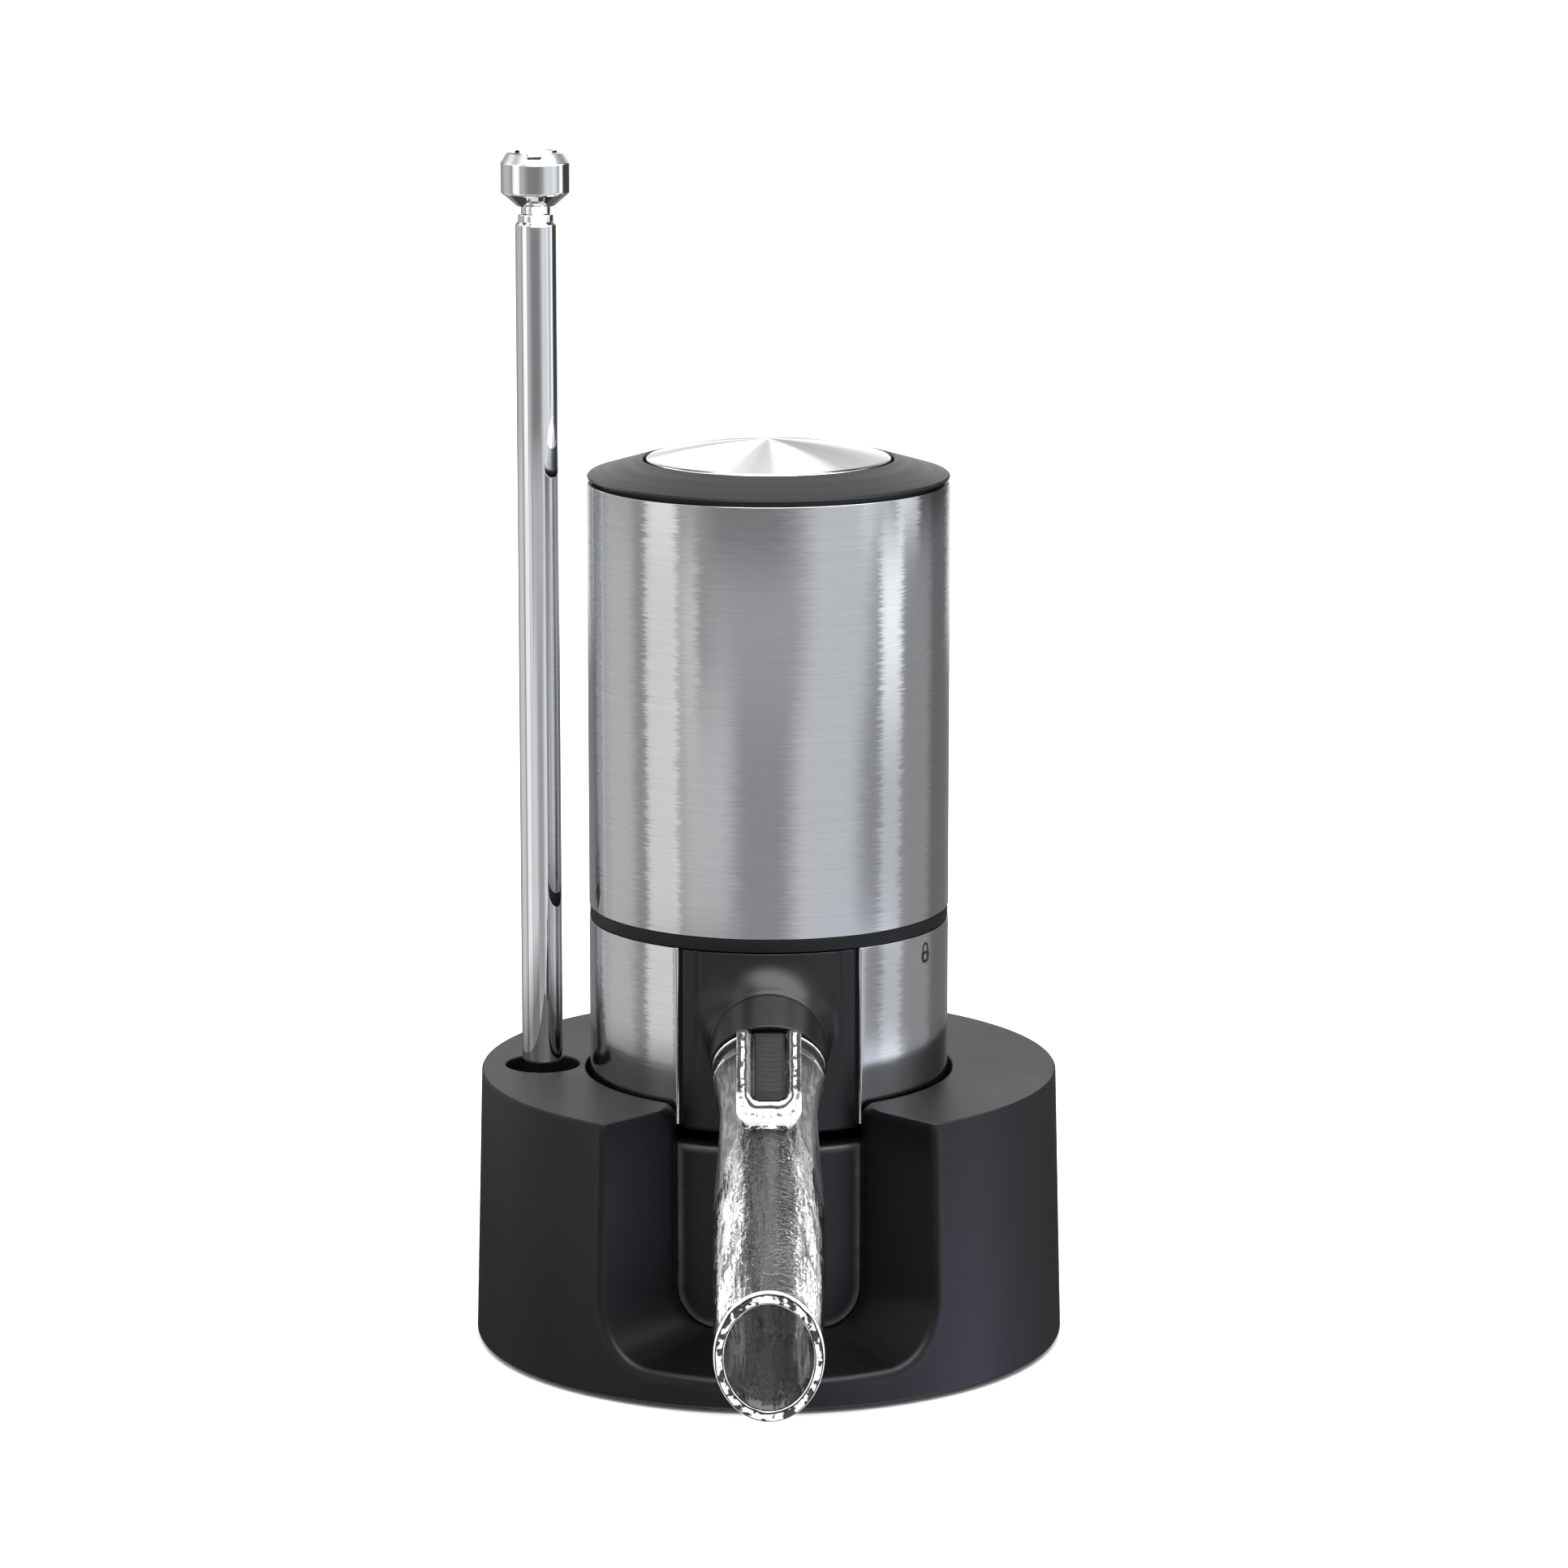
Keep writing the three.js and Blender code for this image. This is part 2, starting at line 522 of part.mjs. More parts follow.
// Motor rotor.
const rotor = new THREE.Group();
rotor.name = 'rotor';
head.add(rotor);
add(rotor, 'motor_shaft', clean(rod(1.0, 1.0, 94.0, 127.4, 10)), M.zinc);
add(rotor, 'motor_armature', ring(1.35, 8.8, 103, 121, 16), M.zinc);
add(rotor, 'commutator', ring(1.35, 2.7, 121.5, 124.2, 10), M.brass);
{
  const hub = union(
    solid(ring(1.35, 4.5, 94.4, 97.5, 12)),
    solid(rod(0.9, 0.9, 93.7, 95.0, 8, 2.9, 0)),
  );
  add(rotor, 'eccentric_hub', surface(hub), M.inner);
}

// ---------------------------------------------------------------- suction tube
const tube = new THREE.Group();
tube.name = 'suction_tube';
tube.position.set(HOLE_X, HOLE_Y, 0);
root.add(tube);
add(tube, 'tube_connector', lathe([
  [3.3, 6.3], [5.3, 6.3], [5.6, 6.8], [5.6, 24.0], [3.75, 24.0], [3.75, 17.6], [3.3, 17.6],
], 12), M.rubber);
add(tube, 'tube_outer', ring(3.12, 3.42, 18.0, 188.0, 16), M.chrome);
add(tube, 'tube_middle', ring(2.68, 2.95, 26.0, 189.3, 14), M.chrome);
add(tube, 'tube_inner', ring(1.9, 2.45, 34.0, 193.4, 12), M.chrome);
{
  let tip = solid(lathe([
    [2.75, 190.4], [3.25, 190.4], [5.67, 192.7], [5.67, 197.0], [4.75, 199.1], [4.45, 199.4],
    [3.95, 199.25], [3.65, 195.0], [2.75, 194.4],
  ], 18));
  for (const a of [-90, 30, 150]) {
    tip = tip.subtract(solid(block(2.5, 8, -1.1, 1.1, 198.3, 201).rotateZ(rad(a))));
  }
  add(tube, 'suction_tip', surface(tip), M.chrome);
}

export default root;
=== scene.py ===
import math

import bmesh
import bpy
import numpy as np
from mathutils import Matrix, Vector


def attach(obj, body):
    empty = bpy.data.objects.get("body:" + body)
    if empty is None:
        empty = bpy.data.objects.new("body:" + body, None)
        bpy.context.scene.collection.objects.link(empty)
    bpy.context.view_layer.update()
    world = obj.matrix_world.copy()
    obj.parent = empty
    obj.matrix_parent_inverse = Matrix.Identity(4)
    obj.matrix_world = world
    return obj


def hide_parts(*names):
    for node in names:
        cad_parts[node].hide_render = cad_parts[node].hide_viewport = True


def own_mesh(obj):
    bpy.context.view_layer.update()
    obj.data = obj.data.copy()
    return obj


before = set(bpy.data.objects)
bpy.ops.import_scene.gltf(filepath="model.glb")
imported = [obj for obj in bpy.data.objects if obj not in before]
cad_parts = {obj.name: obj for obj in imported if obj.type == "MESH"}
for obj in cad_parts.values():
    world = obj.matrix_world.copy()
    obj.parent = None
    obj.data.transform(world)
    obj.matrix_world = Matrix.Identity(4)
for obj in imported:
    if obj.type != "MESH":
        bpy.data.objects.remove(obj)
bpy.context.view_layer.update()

MM = 0.001
scene = bpy.context.scene
rad = math.radians

# ---------------------------------------------------------------- camera
# 135 mm lens almost 1 m in front, looking down 11.4 degrees.
camera = bpy.data.objects.new("camera", bpy.data.cameras.new("camera"))
camera.data.sensor_width = 36.0
camera.data.lens = 135.06
camera.data.clip_start, camera.data.clip_end = 0.05, 50.0
camera.location = (0.0, -0.9611, 0.2875)
camera.rotation_euler = (rad(78.622), 0.0, rad(-0.152))
scene.collection.objects.link(camera)
scene.camera = camera
scene.view_settings.view_transform = "Standard"


# ---------------------------------------------------------------- node helpers
class Tree:
    """A small helper round one material's nodes."""

    def __init__(self, name):
        self.m = bpy.data.materials.new(name)
        self.m.use_nodes = True
        self.t = self.m.node_tree
        self.bsdf = self.t.nodes["Principled BSDF"]

    def node(self, kind, **settings):
        n = self.t.nodes.new(kind)
        for k, v in settings.items():
            setattr(n, k, v)
        return n

    def link(self, a, b):
        self.t.links.new(a, b)
        return b

    def set(self, **values):
        for k, v in values.items():
            self.bsdf.inputs[k.replace("_", " ")].default_value = v

    def coords(self, scale=(1, 1, 1)):
        at = self.node("ShaderNodeTexCoord").outputs["Object"]
        m = self.node("ShaderNodeMapping")
        m.inputs["Scale"].default_value = scale
        self.link(at, m.inputs["Vector"])
        return m.outputs["Vector"]

    def radius(self, scale):
        """Distance from the upright axis through the origin, times scale, as one number."""
        v = self.node("ShaderNodeVectorMath", operation="LENGTH")
        self.link(self.coords((scale, scale, 0)), v.inputs[0])
        return v.outputs["Value"]

    def noise(self, vector, scale=1.0, detail=2.0, rough=0.5, dims="3D"):
        n = self.node("ShaderNodeTexNoise", noise_dimensions=dims)
        n.inputs["Scale"].default_value = scale
        n.inputs["Detail"].default_value = detail
        n.inputs["Roughness"].default_value = rough
        self.link(vector, n.inputs["W" if dims == "1D" else "Vector"])
        return n.outputs["Fac"]

    def span(self, value, lo, hi, a=0.3, b=0.7):
        n = self.node("ShaderNodeMapRange")
        n.inputs["From Min"].default_value, n.inputs["From Max"].default_value = a, b
        n.inputs["To Min"].default_value, n.inputs["To Max"].default_value = lo, hi
        self.link(value, n.inputs["Value"])
        return n.outputs["Result"]

    def tones(self, value, dark, light, a=0.3, b=0.7):
        r = self.node("ShaderNodeValToRGB")
        r.color_ramp.elements[0].position, r.color_ramp.elements[1].position = a, b
        r.color_ramp.elements[0].color = (*dark, 1)
        r.color_ramp.elements[1].color = (*light, 1)
        self.link(value, r.inputs["Fac"])
        return r.outputs["Color"]

    def math(self, op, a, b):
        n = self.node("ShaderNodeMath", operation=op)
        for i, v in enumerate((a, b)):
            if isinstance(v, (int, float)):
                n.inputs[i].default_value = v
            else:
                self.link(v, n.inputs[i])
        return n.outputs["Value"]

    def color(self, out):
        self.link(out, self.bsdf.inputs["Base Color"])

    def rough(self, out):
        self.link(out, self.bsdf.inputs["Roughness"])

    def bump(self, height, strength, distance):
        b = self.node("ShaderNodeBump")
        b.inputs["Strength"].default_value = strength
        b.inputs["Distance"].default_value = distance
        self.link(height, b.inputs["Height"])
        self.link(b.outputs["Normal"], self.bsdf.inputs["Normal"])


def plastic(name, tone, rough, spec=0.5, grain=5200.0, strength=0.12, edge=0.030):
    """Moulded plastic: fine erosion grain, slightly uneven gloss, faint cloudiness in the colour, a painted highlight
    on edges where the "edge" attribute is set and painted shade where "deep" is set.
    """
    t = Tree(name)
    at = t.coords()
    cloud = t.noise(at, 55.0, 3.0)
    fine = t.noise(at, grain, 2.0, 0.6)
    # painted highlight: the colour turns light (edge) along fillets where the "edge" attribute is 1
    painted_edge_highlight = t.node("ShaderNodeAttribute", attribute_name="edge").outputs["Fac"]
    mix = t.node("ShaderNodeMix", data_type="RGBA")
    t.link(t.math("MULTIPLY", painted_edge_highlight, t.span(t.noise(at, 400.0, 2.0), 0.55, 1.0)), mix.inputs[0])
    t.link(t.tones(cloud, [c * 0.88 for c in tone], [c * 1.12 for c in tone]), mix.inputs[6])
    mix.inputs[7].default_value = (edge, edge, edge * 1.04, 1)
    # painted shade: the colour turns much darker where the "deep" attribute is 1
    deep = t.node("ShaderNodeAttribute", attribute_name="deep").outputs["Fac"]
    painted_recess_shade = t.node("ShaderNodeMix", data_type="RGBA")
    t.link(deep, painted_recess_shade.inputs[0])
    t.link(mix.outputs[2], painted_recess_shade.inputs[6])
    painted_recess_shade.inputs[7].default_value = (tone[0] * 0.12, tone[1] * 0.12, tone[2] * 0.16, 1)
    t.color(painted_recess_shade.outputs[2])
    t.rough(t.math("ADD", t.span(cloud, rough - 0.025, rough + 0.025), t.span(fine, -0.03, 0.03)))
    t.bump(fine, strength, 0.00005)
    t.set(Specular_IOR_Level=spec)
    return t.m


def brushed(name, dark, light, rough, aniso, sway=0.055):
    """Sheet steel brushed round its axis: long hairlines and short strokes, each leaning the normal a little sideways."""
    t = Tree(name)
    hair = t.noise(t.coords((26, 26, 7000)), 1.0, 3.0, 0.7)
    stroke = t.noise(t.coords((300, 300, 3000)), 1.0, 2.0, 0.65)
    cloud = t.noise(t.coords(), 40.0, 2.0)
    t.color(t.tones(hair, dark, light))
    t.rough(t.math("ADD", t.span(stroke, rough - 0.02, rough + 0.02), t.span(cloud, -0.012, 0.012)))
    place_xy = t.node("ShaderNodeVectorMath", operation="MULTIPLY")
    place_xy.inputs[1].default_value = (1, 1, 0)
    t.link(t.coords(), place_xy.inputs[0])
    side = t.node("ShaderNodeVectorMath", operation="CROSS_PRODUCT")
    side.inputs[0].default_value = (0, 0, 1)
    t.link(place_xy.outputs["Vector"], side.inputs[1])
    unit = t.node("ShaderNodeVectorMath", operation="NORMALIZE")
    t.link(side.outputs["Vector"], unit.inputs[0])
    lean = t.node("ShaderNodeVectorMath", operation="SCALE")
    t.link(unit.outputs["Vector"], lean.inputs[0])
    t.link(t.math("ADD", t.span(stroke, -sway, sway), t.span(hair, -sway * 0.5, sway * 0.5)), lean.inputs["Scale"])
    total = t.node("ShaderNodeVectorMath", operation="ADD")
    t.link(t.node("ShaderNodeNewGeometry").outputs["Normal"], total.inputs[0])
    t.link(lean.outputs["Vector"], total.inputs[1])
    final = t.node("ShaderNodeVectorMath", operation="NORMALIZE")
    t.link(total.outputs["Vector"], final.inputs[0])
    t.link(final.outputs["Vector"], t.bsdf.inputs["Normal"])
    t.set(Metallic=1.0, Anisotropic=aniso, Anisotropic_Rotation=0.25)
    tangent = t.node("ShaderNodeTangent", direction_type="RADIAL", axis="Z")
    t.link(tangent.outputs["Tangent"], t.bsdf.inputs["Tangent"])
    return t.m


def turned(name, dark, light, rough, aniso, lines=5200.0, strength=0.10, metal=1.0):
    """Metal turned or spun on a lathe: rings round the upright axis."""
    t = Tree(name)
    r = t.radius(1.0)
    rings = t.noise(t.math("MULTIPLY", r, lines), 1.0, 3.0, 0.7, dims="1D")
    broad = t.noise(t.math("MULTIPLY", r, lines * 0.12), 1.0, 2.0, 0.5, dims="1D")
    t.color(t.tones(rings, dark, light))
    t.rough(t.math("ADD", t.span(rings, rough - 0.04, rough + 0.04), t.span(broad, -0.02, 0.02)))
    t.bump(rings, strength, 0.000015)
    t.set(Metallic=metal, Anisotropic=aniso, Anisotropic_Rotation=0.25)
    tangent = t.node("ShaderNodeTangent", direction_type="RADIAL", axis="Z")
    t.link(tangent.outputs["Tangent"], t.bsdf.inputs["Tangent"])
    return t.m


def plated(name, tone, rough):
    """Bright plating: a mirror with a trace of polishing haze."""
    t = Tree(name)
    haze = t.noise(t.coords(), 260.0, 3.0)
    lines = t.noise(t.coords((900, 900, 60)), 1.0, 2.0)
    t.color(t.tones(haze, [c * 0.97 for c in tone], tone))
    t.rough(t.math("ADD", t.span(haze, rough * 0.7, rough * 1.4), t.span(lines, 0.0, 0.012)))
    t.set(Metallic=1.0)
    return t.m


def clear(name, tint=1.0, rough=0.012, wavy=1.0, painted_glints=False, spec=0.5):
    """Clear moulded plastic: long soft ripples and faint flow lines. With the glint flag set: its cut or moulded edges,
    painted with highlight lines and glitter in the colour.
    """
    t = Tree(name)
    turn = t.node("ShaderNodeMapping")
    turn.inputs["Rotation"].default_value = (rad(-35), 0, 0)
    t.link(t.coords(), turn.inputs["Vector"])

    def along(scale):
        m = t.node("ShaderNodeMapping")
        m.inputs["Scale"].default_value = scale
        t.link(turn.outputs["Vector"], m.inputs["Vector"])
        return m.outputs["Vector"]

    wave = t.noise(along((300, 85, 300)), 1.0, 0.0)
    flow = t.noise(along((1500, 330, 1500)), 1.0, 2.0, 0.6)
    haze = t.noise(t.coords(), 700.0, 2.0)
    if painted_glints:
        # "lip" runs 0..1 across the edge: a painted highlight line, a dark one, painted glitter, a dark line and a
        # painted highlight line.
        # "rail" is 1 where only a broken painted highlight line runs along the middle.
        across = t.node("ShaderNodeAttribute", attribute_name="lip").outputs["Fac"]
        rail = t.node("ShaderNodeAttribute", attribute_name="rail").outputs["Fac"]
        across = t.math("ADD", across, t.span(t.noise(t.coords(), 420.0, 1.0), -0.035, 0.035))
        spark = t.noise(t.coords(), 980.0, 1.0, 0.6)
        line = t.math("MAXIMUM", t.span(across, 1.0, 0.0, 0.12, 0.17), t.span(across, 0.0, 1.0, 0.86, 0.90))
        field = t.math("MINIMUM", t.span(across, 0.0, 1.0, 0.22, 0.27), t.span(across, 1.0, 0.0, 0.74, 0.79))
        painted_glitter = t.math("MULTIPLY", field, t.span(spark, 0.04, 1.0, 0.44, 0.53))
        plain = t.math("MULTIPLY", t.math("MAXIMUM", line, painted_glitter), t.span(rail, 1.0, 0.0, 0.0, 0.5))
        # the raised frame with painted highlight dashes, rail = 0.5 at its closed end and 1 along its sides
        dashes = t.math("MULTIPLY", t.span(across, 0.0, 1.0, 0.40, 0.45), t.span(across, 1.0, 0.0, 0.62, 0.67))
        dashes = t.math("MULTIPLY", dashes, t.span(spark, 0.06, 1.0, 0.40, 0.48))
        dashes = t.math("MAXIMUM", dashes, t.math("MULTIPLY", t.span(across, 0.34, 0.0, 0.14, 0.22), t.span(spark, 0.4, 1.0, 0.4, 0.6)))
        dashes = t.math("MAXIMUM", dashes, t.span(across, 0.0, 0.26, 0.80, 0.86))
        holes = t.math("MULTIPLY", t.span(across, 0.0, 1.0, 0.22, 0.30), t.span(across, 1.0, 0.0, 0.46, 0.54))
        holes = t.math("MULTIPLY", holes, t.span(spark, 1.0, 0.0, 0.40, 0.48))
        closed = t.math("SUBTRACT", t.span(across, 1.0, 0.0, 0.60, 0.65), t.math("MULTIPLY", holes, 0.85))
        closed = t.math("MAXIMUM", closed, t.span(across, 0.0, 1.0, 0.75, 0.80))
        side = t.span(rail, 0.0, 1.0, 0.55, 0.95)
        frame_u = t.math("ADD", t.math("MULTIPLY", closed, t.math("SUBTRACT", 1.0, side)), t.math("MULTIPLY", dashes, side))
        value = t.math("ADD", plain, t.math("MULTIPLY", frame_u, t.span(rail, 0.0, 1.0, 0.0, 0.5)))
        t.color(t.tones(value, (0.006, 0.006, 0.007), (0.98, 0.985, 0.99), 0.0, 1.0))
        t.bump(t.math("ADD", spark, wave), 1.0, 0.0004)
        t.set(Transmission_Weight=0.30, IOR=1.49)
        t.rough(t.span(haze, 0.08, 0.16))
        return t.m
    # painted shade: this attribute darkens the colour at the thick root of the spout, standing in for the black plastic
    # behind it showing through.
    painted_show_through = t.node("ShaderNodeAttribute", attribute_name="painted_show_through").outputs["Fac"]
    mix = t.node("ShaderNodeMix", data_type="RGBA")
    t.link(painted_show_through, mix.inputs[0])
    t.link(t.tones(haze, [tint * c for c in (0.965, 0.974, 0.977)], [tint * c for c in (0.990, 0.994, 0.996)]), mix.inputs[6])
    mix.inputs[7].default_value = (0.008, 0.0083, 0.0086, 1)
    t.color(mix.outputs[2])
    t.rough(t.math("ADD", t.span(haze, rough * 0.4, rough * 1.8), t.math("MULTIPLY", painted_show_through, 0.22)))
    # "mid" is the upper middle of the barrel, where the moulding is mottled
    mid = t.node("ShaderNodeAttribute", attribute_name="mid").outputs["Fac"]
    mottle = t.math("MULTIPLY", t.noise(along((900, 1500, 900)), 1.0, 2.0, 0.6), t.math("MULTIPLY", mid, 0.42))
    height = t.math("ADD", wave, t.math("MULTIPLY", flow, 0.26))
    t.bump(t.math("ADD", height, mottle), 1.0, 0.00045 * wavy)
    t.set(Transmission_Weight=1.0, IOR=1.49, Specular_IOR_Level=spec)
    return t.m


def spun_painted_fans(name):
    """Spun metal with the fan-shaped sheen of a lathe-turned cone painted into its colour: dark reflection fans set by
    angle round the axis.
    """
    t = Tree(name)
    sep = t.node("ShaderNodeSeparateXYZ")
    t.link(t.coords(), sep.inputs[0])
    angle = t.math("DIVIDE", t.math("ARCTAN2", sep.outputs["X"], t.math("MULTIPLY", sep.outputs["Y"], -1.0)), 2 * math.pi)
    angle = t.math("ADD", angle, 0.5)
    ramp = t.node("ShaderNodeValToRGB")
    ramp.color_ramp.interpolation = "EASE"
    # painted reflection: dark fans at fixed angles round the cone
    painted_reflection_stops = [(0.0, 0.97), (0.120, 0.97), (0.148, 0.20), (0.165, 0.05), (0.182, 0.20), (0.200, 0.97), (0.222, 0.97),
             (0.242, 0.20), (0.262, 0.22), (0.285, 0.97), (0.440, 0.97), (0.462, 0.64), (0.482, 0.50), (0.500, 0.54),
             (0.514, 0.97), (0.578, 0.97), (0.612, 0.26), (0.665, 0.17), (0.705, 0.20), (0.735, 0.50), (0.757, 0.97),
             (0.820, 0.97), (0.842, 0.20), (0.862, 0.04), (0.882, 0.20), (0.905, 0.97), (1.0, 0.97)]
    els = ramp.color_ramp.elements
    while len(els) < len(painted_reflection_stops):
        els.new(0.5)
    for e, (at, v) in zip(els, painted_reflection_stops):
        e.position = at
        e.color = (v, v, v * 1.01, 1)
    t.link(angle, ramp.inputs["Fac"])
    r = t.radius(1.0)
    rings = t.noise(t.math("MULTIPLY", r, 5200.0), 1.0, 3.0, 0.7, dims="1D")
    # the painted reflection fans fade outwards, the thin ones behind the middle much sooner
    behind = t.span(t.math("ABSOLUTE", t.math("SUBTRACT", angle, 0.5), 0.0), 0.0, 1.0, 0.285, 0.305)
    fade = t.math("MAXIMUM", t.span(r, 0.0, 0.38, 0.004, 0.020), t.math("MULTIPLY", behind, t.span(r, 0.0, 1.0, 0.0080, 0.0175)))
    pale = t.node("ShaderNodeMix", data_type="RGBA")
    t.link(fade, pale.inputs[0])
    t.link(ramp.outputs["Color"], pale.inputs[6])
    pale.inputs[7].default_value = (0.92, 0.92, 0.93, 1)
    mix = t.node("ShaderNodeMix", data_type="RGBA", blend_type="MULTIPLY")
    mix.inputs[0].default_value = 1.0
    t.link(pale.outputs[2], mix.inputs[6])
    t.link(t.tones(rings, (0.93, 0.93, 0.93), (1.0, 1.0, 1.0)), mix.inputs[7])
    t.color(mix.outputs[2])
    t.rough(t.span(rings, 0.16, 0.24))
    t.bump(rings, 0.10, 0.000015)
    t.set(Metallic=1.0, Anisotropic=0.6, Anisotropic_Rotation=0.25)
    tangent = t.node("ShaderNodeTangent", direction_type="RADIAL", axis="Z")
    t.link(tangent.outputs["Tangent"], t.bsdf.inputs["Tangent"])
    return t.m


def tip_metal(name):
    """Bright plating with painted shade: dark in the inlet and its slots, where "deep" is 1."""
    t = Tree(name)
    haze = t.noise(t.coords(), 260.0, 3.0)
    deep = t.node("ShaderNodeAttribute", attribute_name="deep").outputs["Fac"]
    t.color(t.math("MULTIPLY", t.span(deep, 0.87, 0.02, 0.25, 0.75), t.span(haze, 0.97, 1.0)))
    split = t.node("ShaderNodeSeparateXYZ")
    t.link(t.coords(), split.inputs[0])
    ground = t.span(split.outputs["Z"], 0.0, 0.30, 0.19750, 0.19775)
    t.rough(t.math("MAXIMUM", t.span(deep, 0.035, 0.6, 0.25, 0.75), ground))
    t.set(Metallic=1.0)
    return t.m


M = {
    "stand": plastic("stand_black", (0.0040, 0.0042, 0.0046), 0.42, 0.40),
    # the cup's fillets carry a strong painted highlight (edge=0.160)
    "cup": plastic("cup_black", (0.0054, 0.0054, 0.0066), 0.36, 0.40, edge=0.160),
    "black": plastic("black_plastic", (0.0043, 0.0044, 0.0046), 0.31, 0.42),
    "seam": plastic("seam_black", (0.0030, 0.0030, 0.0034), 0.45, 0.28),
    "latch": plastic("latch_black", (0.0032, 0.0032, 0.0038), 0.40, 0.34),
    "print": plastic("print_black", (0.010, 0.010, 0.011), 0.55, 0.3),
    "rubber": plastic("rubber_black", (0.012, 0.012, 0.013), 0.72, 0.3, grain=3200.0, strength=0.25),
    "grey": plastic("grey_plastic", (0.060, 0.065, 0.072), 0.5, 0.5),
    "board": plastic("board_green", (0.012, 0.075, 0.030), 0.45, 0.5),
    "cell": plastic("cell_jacket", (0.045, 0.110, 0.060), 0.30, 0.5),
    "steel": brushed("steel", (0.585, 0.590, 0.602), (0.655, 0.660, 0.668), 0.135, 0.45, 0.024),
    "satin": turned("satin_metal", (0.0080, 0.0080, 0.0085), (0.0109, 0.0109, 0.0118), 0.42, 0.2, metal=0.50),
    "spun": spun_painted_fans("spun_metal"),
    "tip": tip_metal("tip_chrome"),
    "chrome": plated("chrome", (0.86, 0.87, 0.88), 0.035),
    "clear": clear("clear_plastic"),
    # the bore's colour tinted darker: painted shade inside the tube
    "bore": clear("clear_bore_painted_shade", 0.36, 0.03, 1.3),
    # a darker, rougher copy for the root's sides: painted shade
    "root": clear("clear_root_painted_shade", 0.22, 0.20, 1.2, spec=0.03),
    # painted highlight lines and glitter on the rim and the raised frame
    "gleam": clear("clear_edge_painted_glints", painted_glints=True),
    "brass": turned("brass", (0.55, 0.40, 0.16), (0.70, 0.52, 0.24), 0.28, 0.2),
    "zinc": plated("zinc_steel", (0.55, 0.56, 0.58), 0.30),
}


# ---------------------------------------------------------------- mesh helpers
def build(name, verts, faces, key, smooth=None, normals=None, fix=True):
    """One mesh object from points in millimetres. smooth is the angle over which an edge stays sharp."""
    me = bpy.data.meshes.new(name)
    me.from_pydata((np.asarray(verts, float) * MM).tolist(), [], [list(map(int, f)) for f in faces])
    if fix:
        bm = bmesh.new()
        bm.from_mesh(me)
        bmesh.ops.recalc_face_normals(bm, faces=bm.faces)
        bm.to_mesh(me)
        bm.free()
    me.materials.append(M[key])
    me.shade_smooth()
    if smooth is not None:
        me.set_sharp_from_angle(angle=rad(smooth))
    if normals is not None:
        me.normals_split_custom_set_from_vertices(normals.tolist())
    me.validate()
    ob = bpy.data.objects.new(name, me)
    scene.collection.objects.link(ob)
    return ob


def place(ob, body, key, *nodes):
    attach(ob, body)
    if nodes:
        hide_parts(*nodes)
    return ob


def rounded(points, closed=True, steps=5):
    """A 2-D outline with its corners rounded: each point is (a, b) or (a, b, radius)."""
    out, n = [], len(points)
    for i, p in enumerate(points):
        r = p[2] if len(p) > 2 else 0.0
        if r <= 0 or (not closed and i in (0, n - 1)):
            out.append((p[0], p[1]))
            continue
        b = np.array(p[:2], float)
        u = np.array(points[i - 1][:2], float) - b
        v = np.array(points[(i + 1) % n][:2], float) - b
        lu, lv = np.linalg.norm(u), np.linalg.norm(v)
        u, v = u / lu, v / lv
        ang = math.acos(max(-1, min(1, float(u @ v))))
        if ang > rad(178):
            out.append((p[0], p[1]))
            continue
        t = min(r / math.tan(ang / 2), lu * 0.48, lv * 0.48)
        r = t * math.tan(ang / 2)
        mid = (u + v) / np.linalg.norm(u + v)
        c = b + mid * (r / math.sin(ang / 2))
        s, e = b + u * t - c, b + v * t - c
        a0, a1 = math.atan2(s[1], s[0]), math.atan2(e[1], e[0])
        d = (a1 - a0 + math.pi) % (2 * math.pi) - math.pi
        for k in range(steps + 1):
            a = a0 + d * k / steps
            out.append((c[0] + r * math.cos(a), c[1] + r * math.sin(a)))
    return out


def lathe(name, profile, key, n=160, centre=(0.0, 0.0), smooth=32, steps=5, closed=True):
    """Solid of revolution about an upright axis. Profile points are (radius, z[, corner radius])."""
    pts = rounded(profile, closed, steps)
    ang = np.arange(n) * 2 * math.pi / n
    verts, rings = [], []
    for r, z in pts:
        if r < 1e-6:
            rings.append([len(verts)])
            verts.append((centre[0], centre[1], z))
        else:
            rings.append(list(range(len(verts), len(verts) + n)))
            verts += [(centre[0] + r * math.cos(a), centre[1] + r * math.sin(a), z) for a in ang]
    faces = []
    m = len(rings)
    for i in range(m if closed else m - 1):
        a, b = rings[i], rings[(i + 1) % m]
        if len(a) == 1 and len(b) == 1:
            continue
        for j in range(n):
            k = (j + 1) % n
            if len(a) == 1:
                faces.append((a[0], b[k], b[j]))
            elif len(b) == 1:
                faces.append((a[j], a[k], b[0]))
            else:
                faces.append((a[j], a[k], b[k], b[j]))
    return build(name, verts, faces, key, smooth)


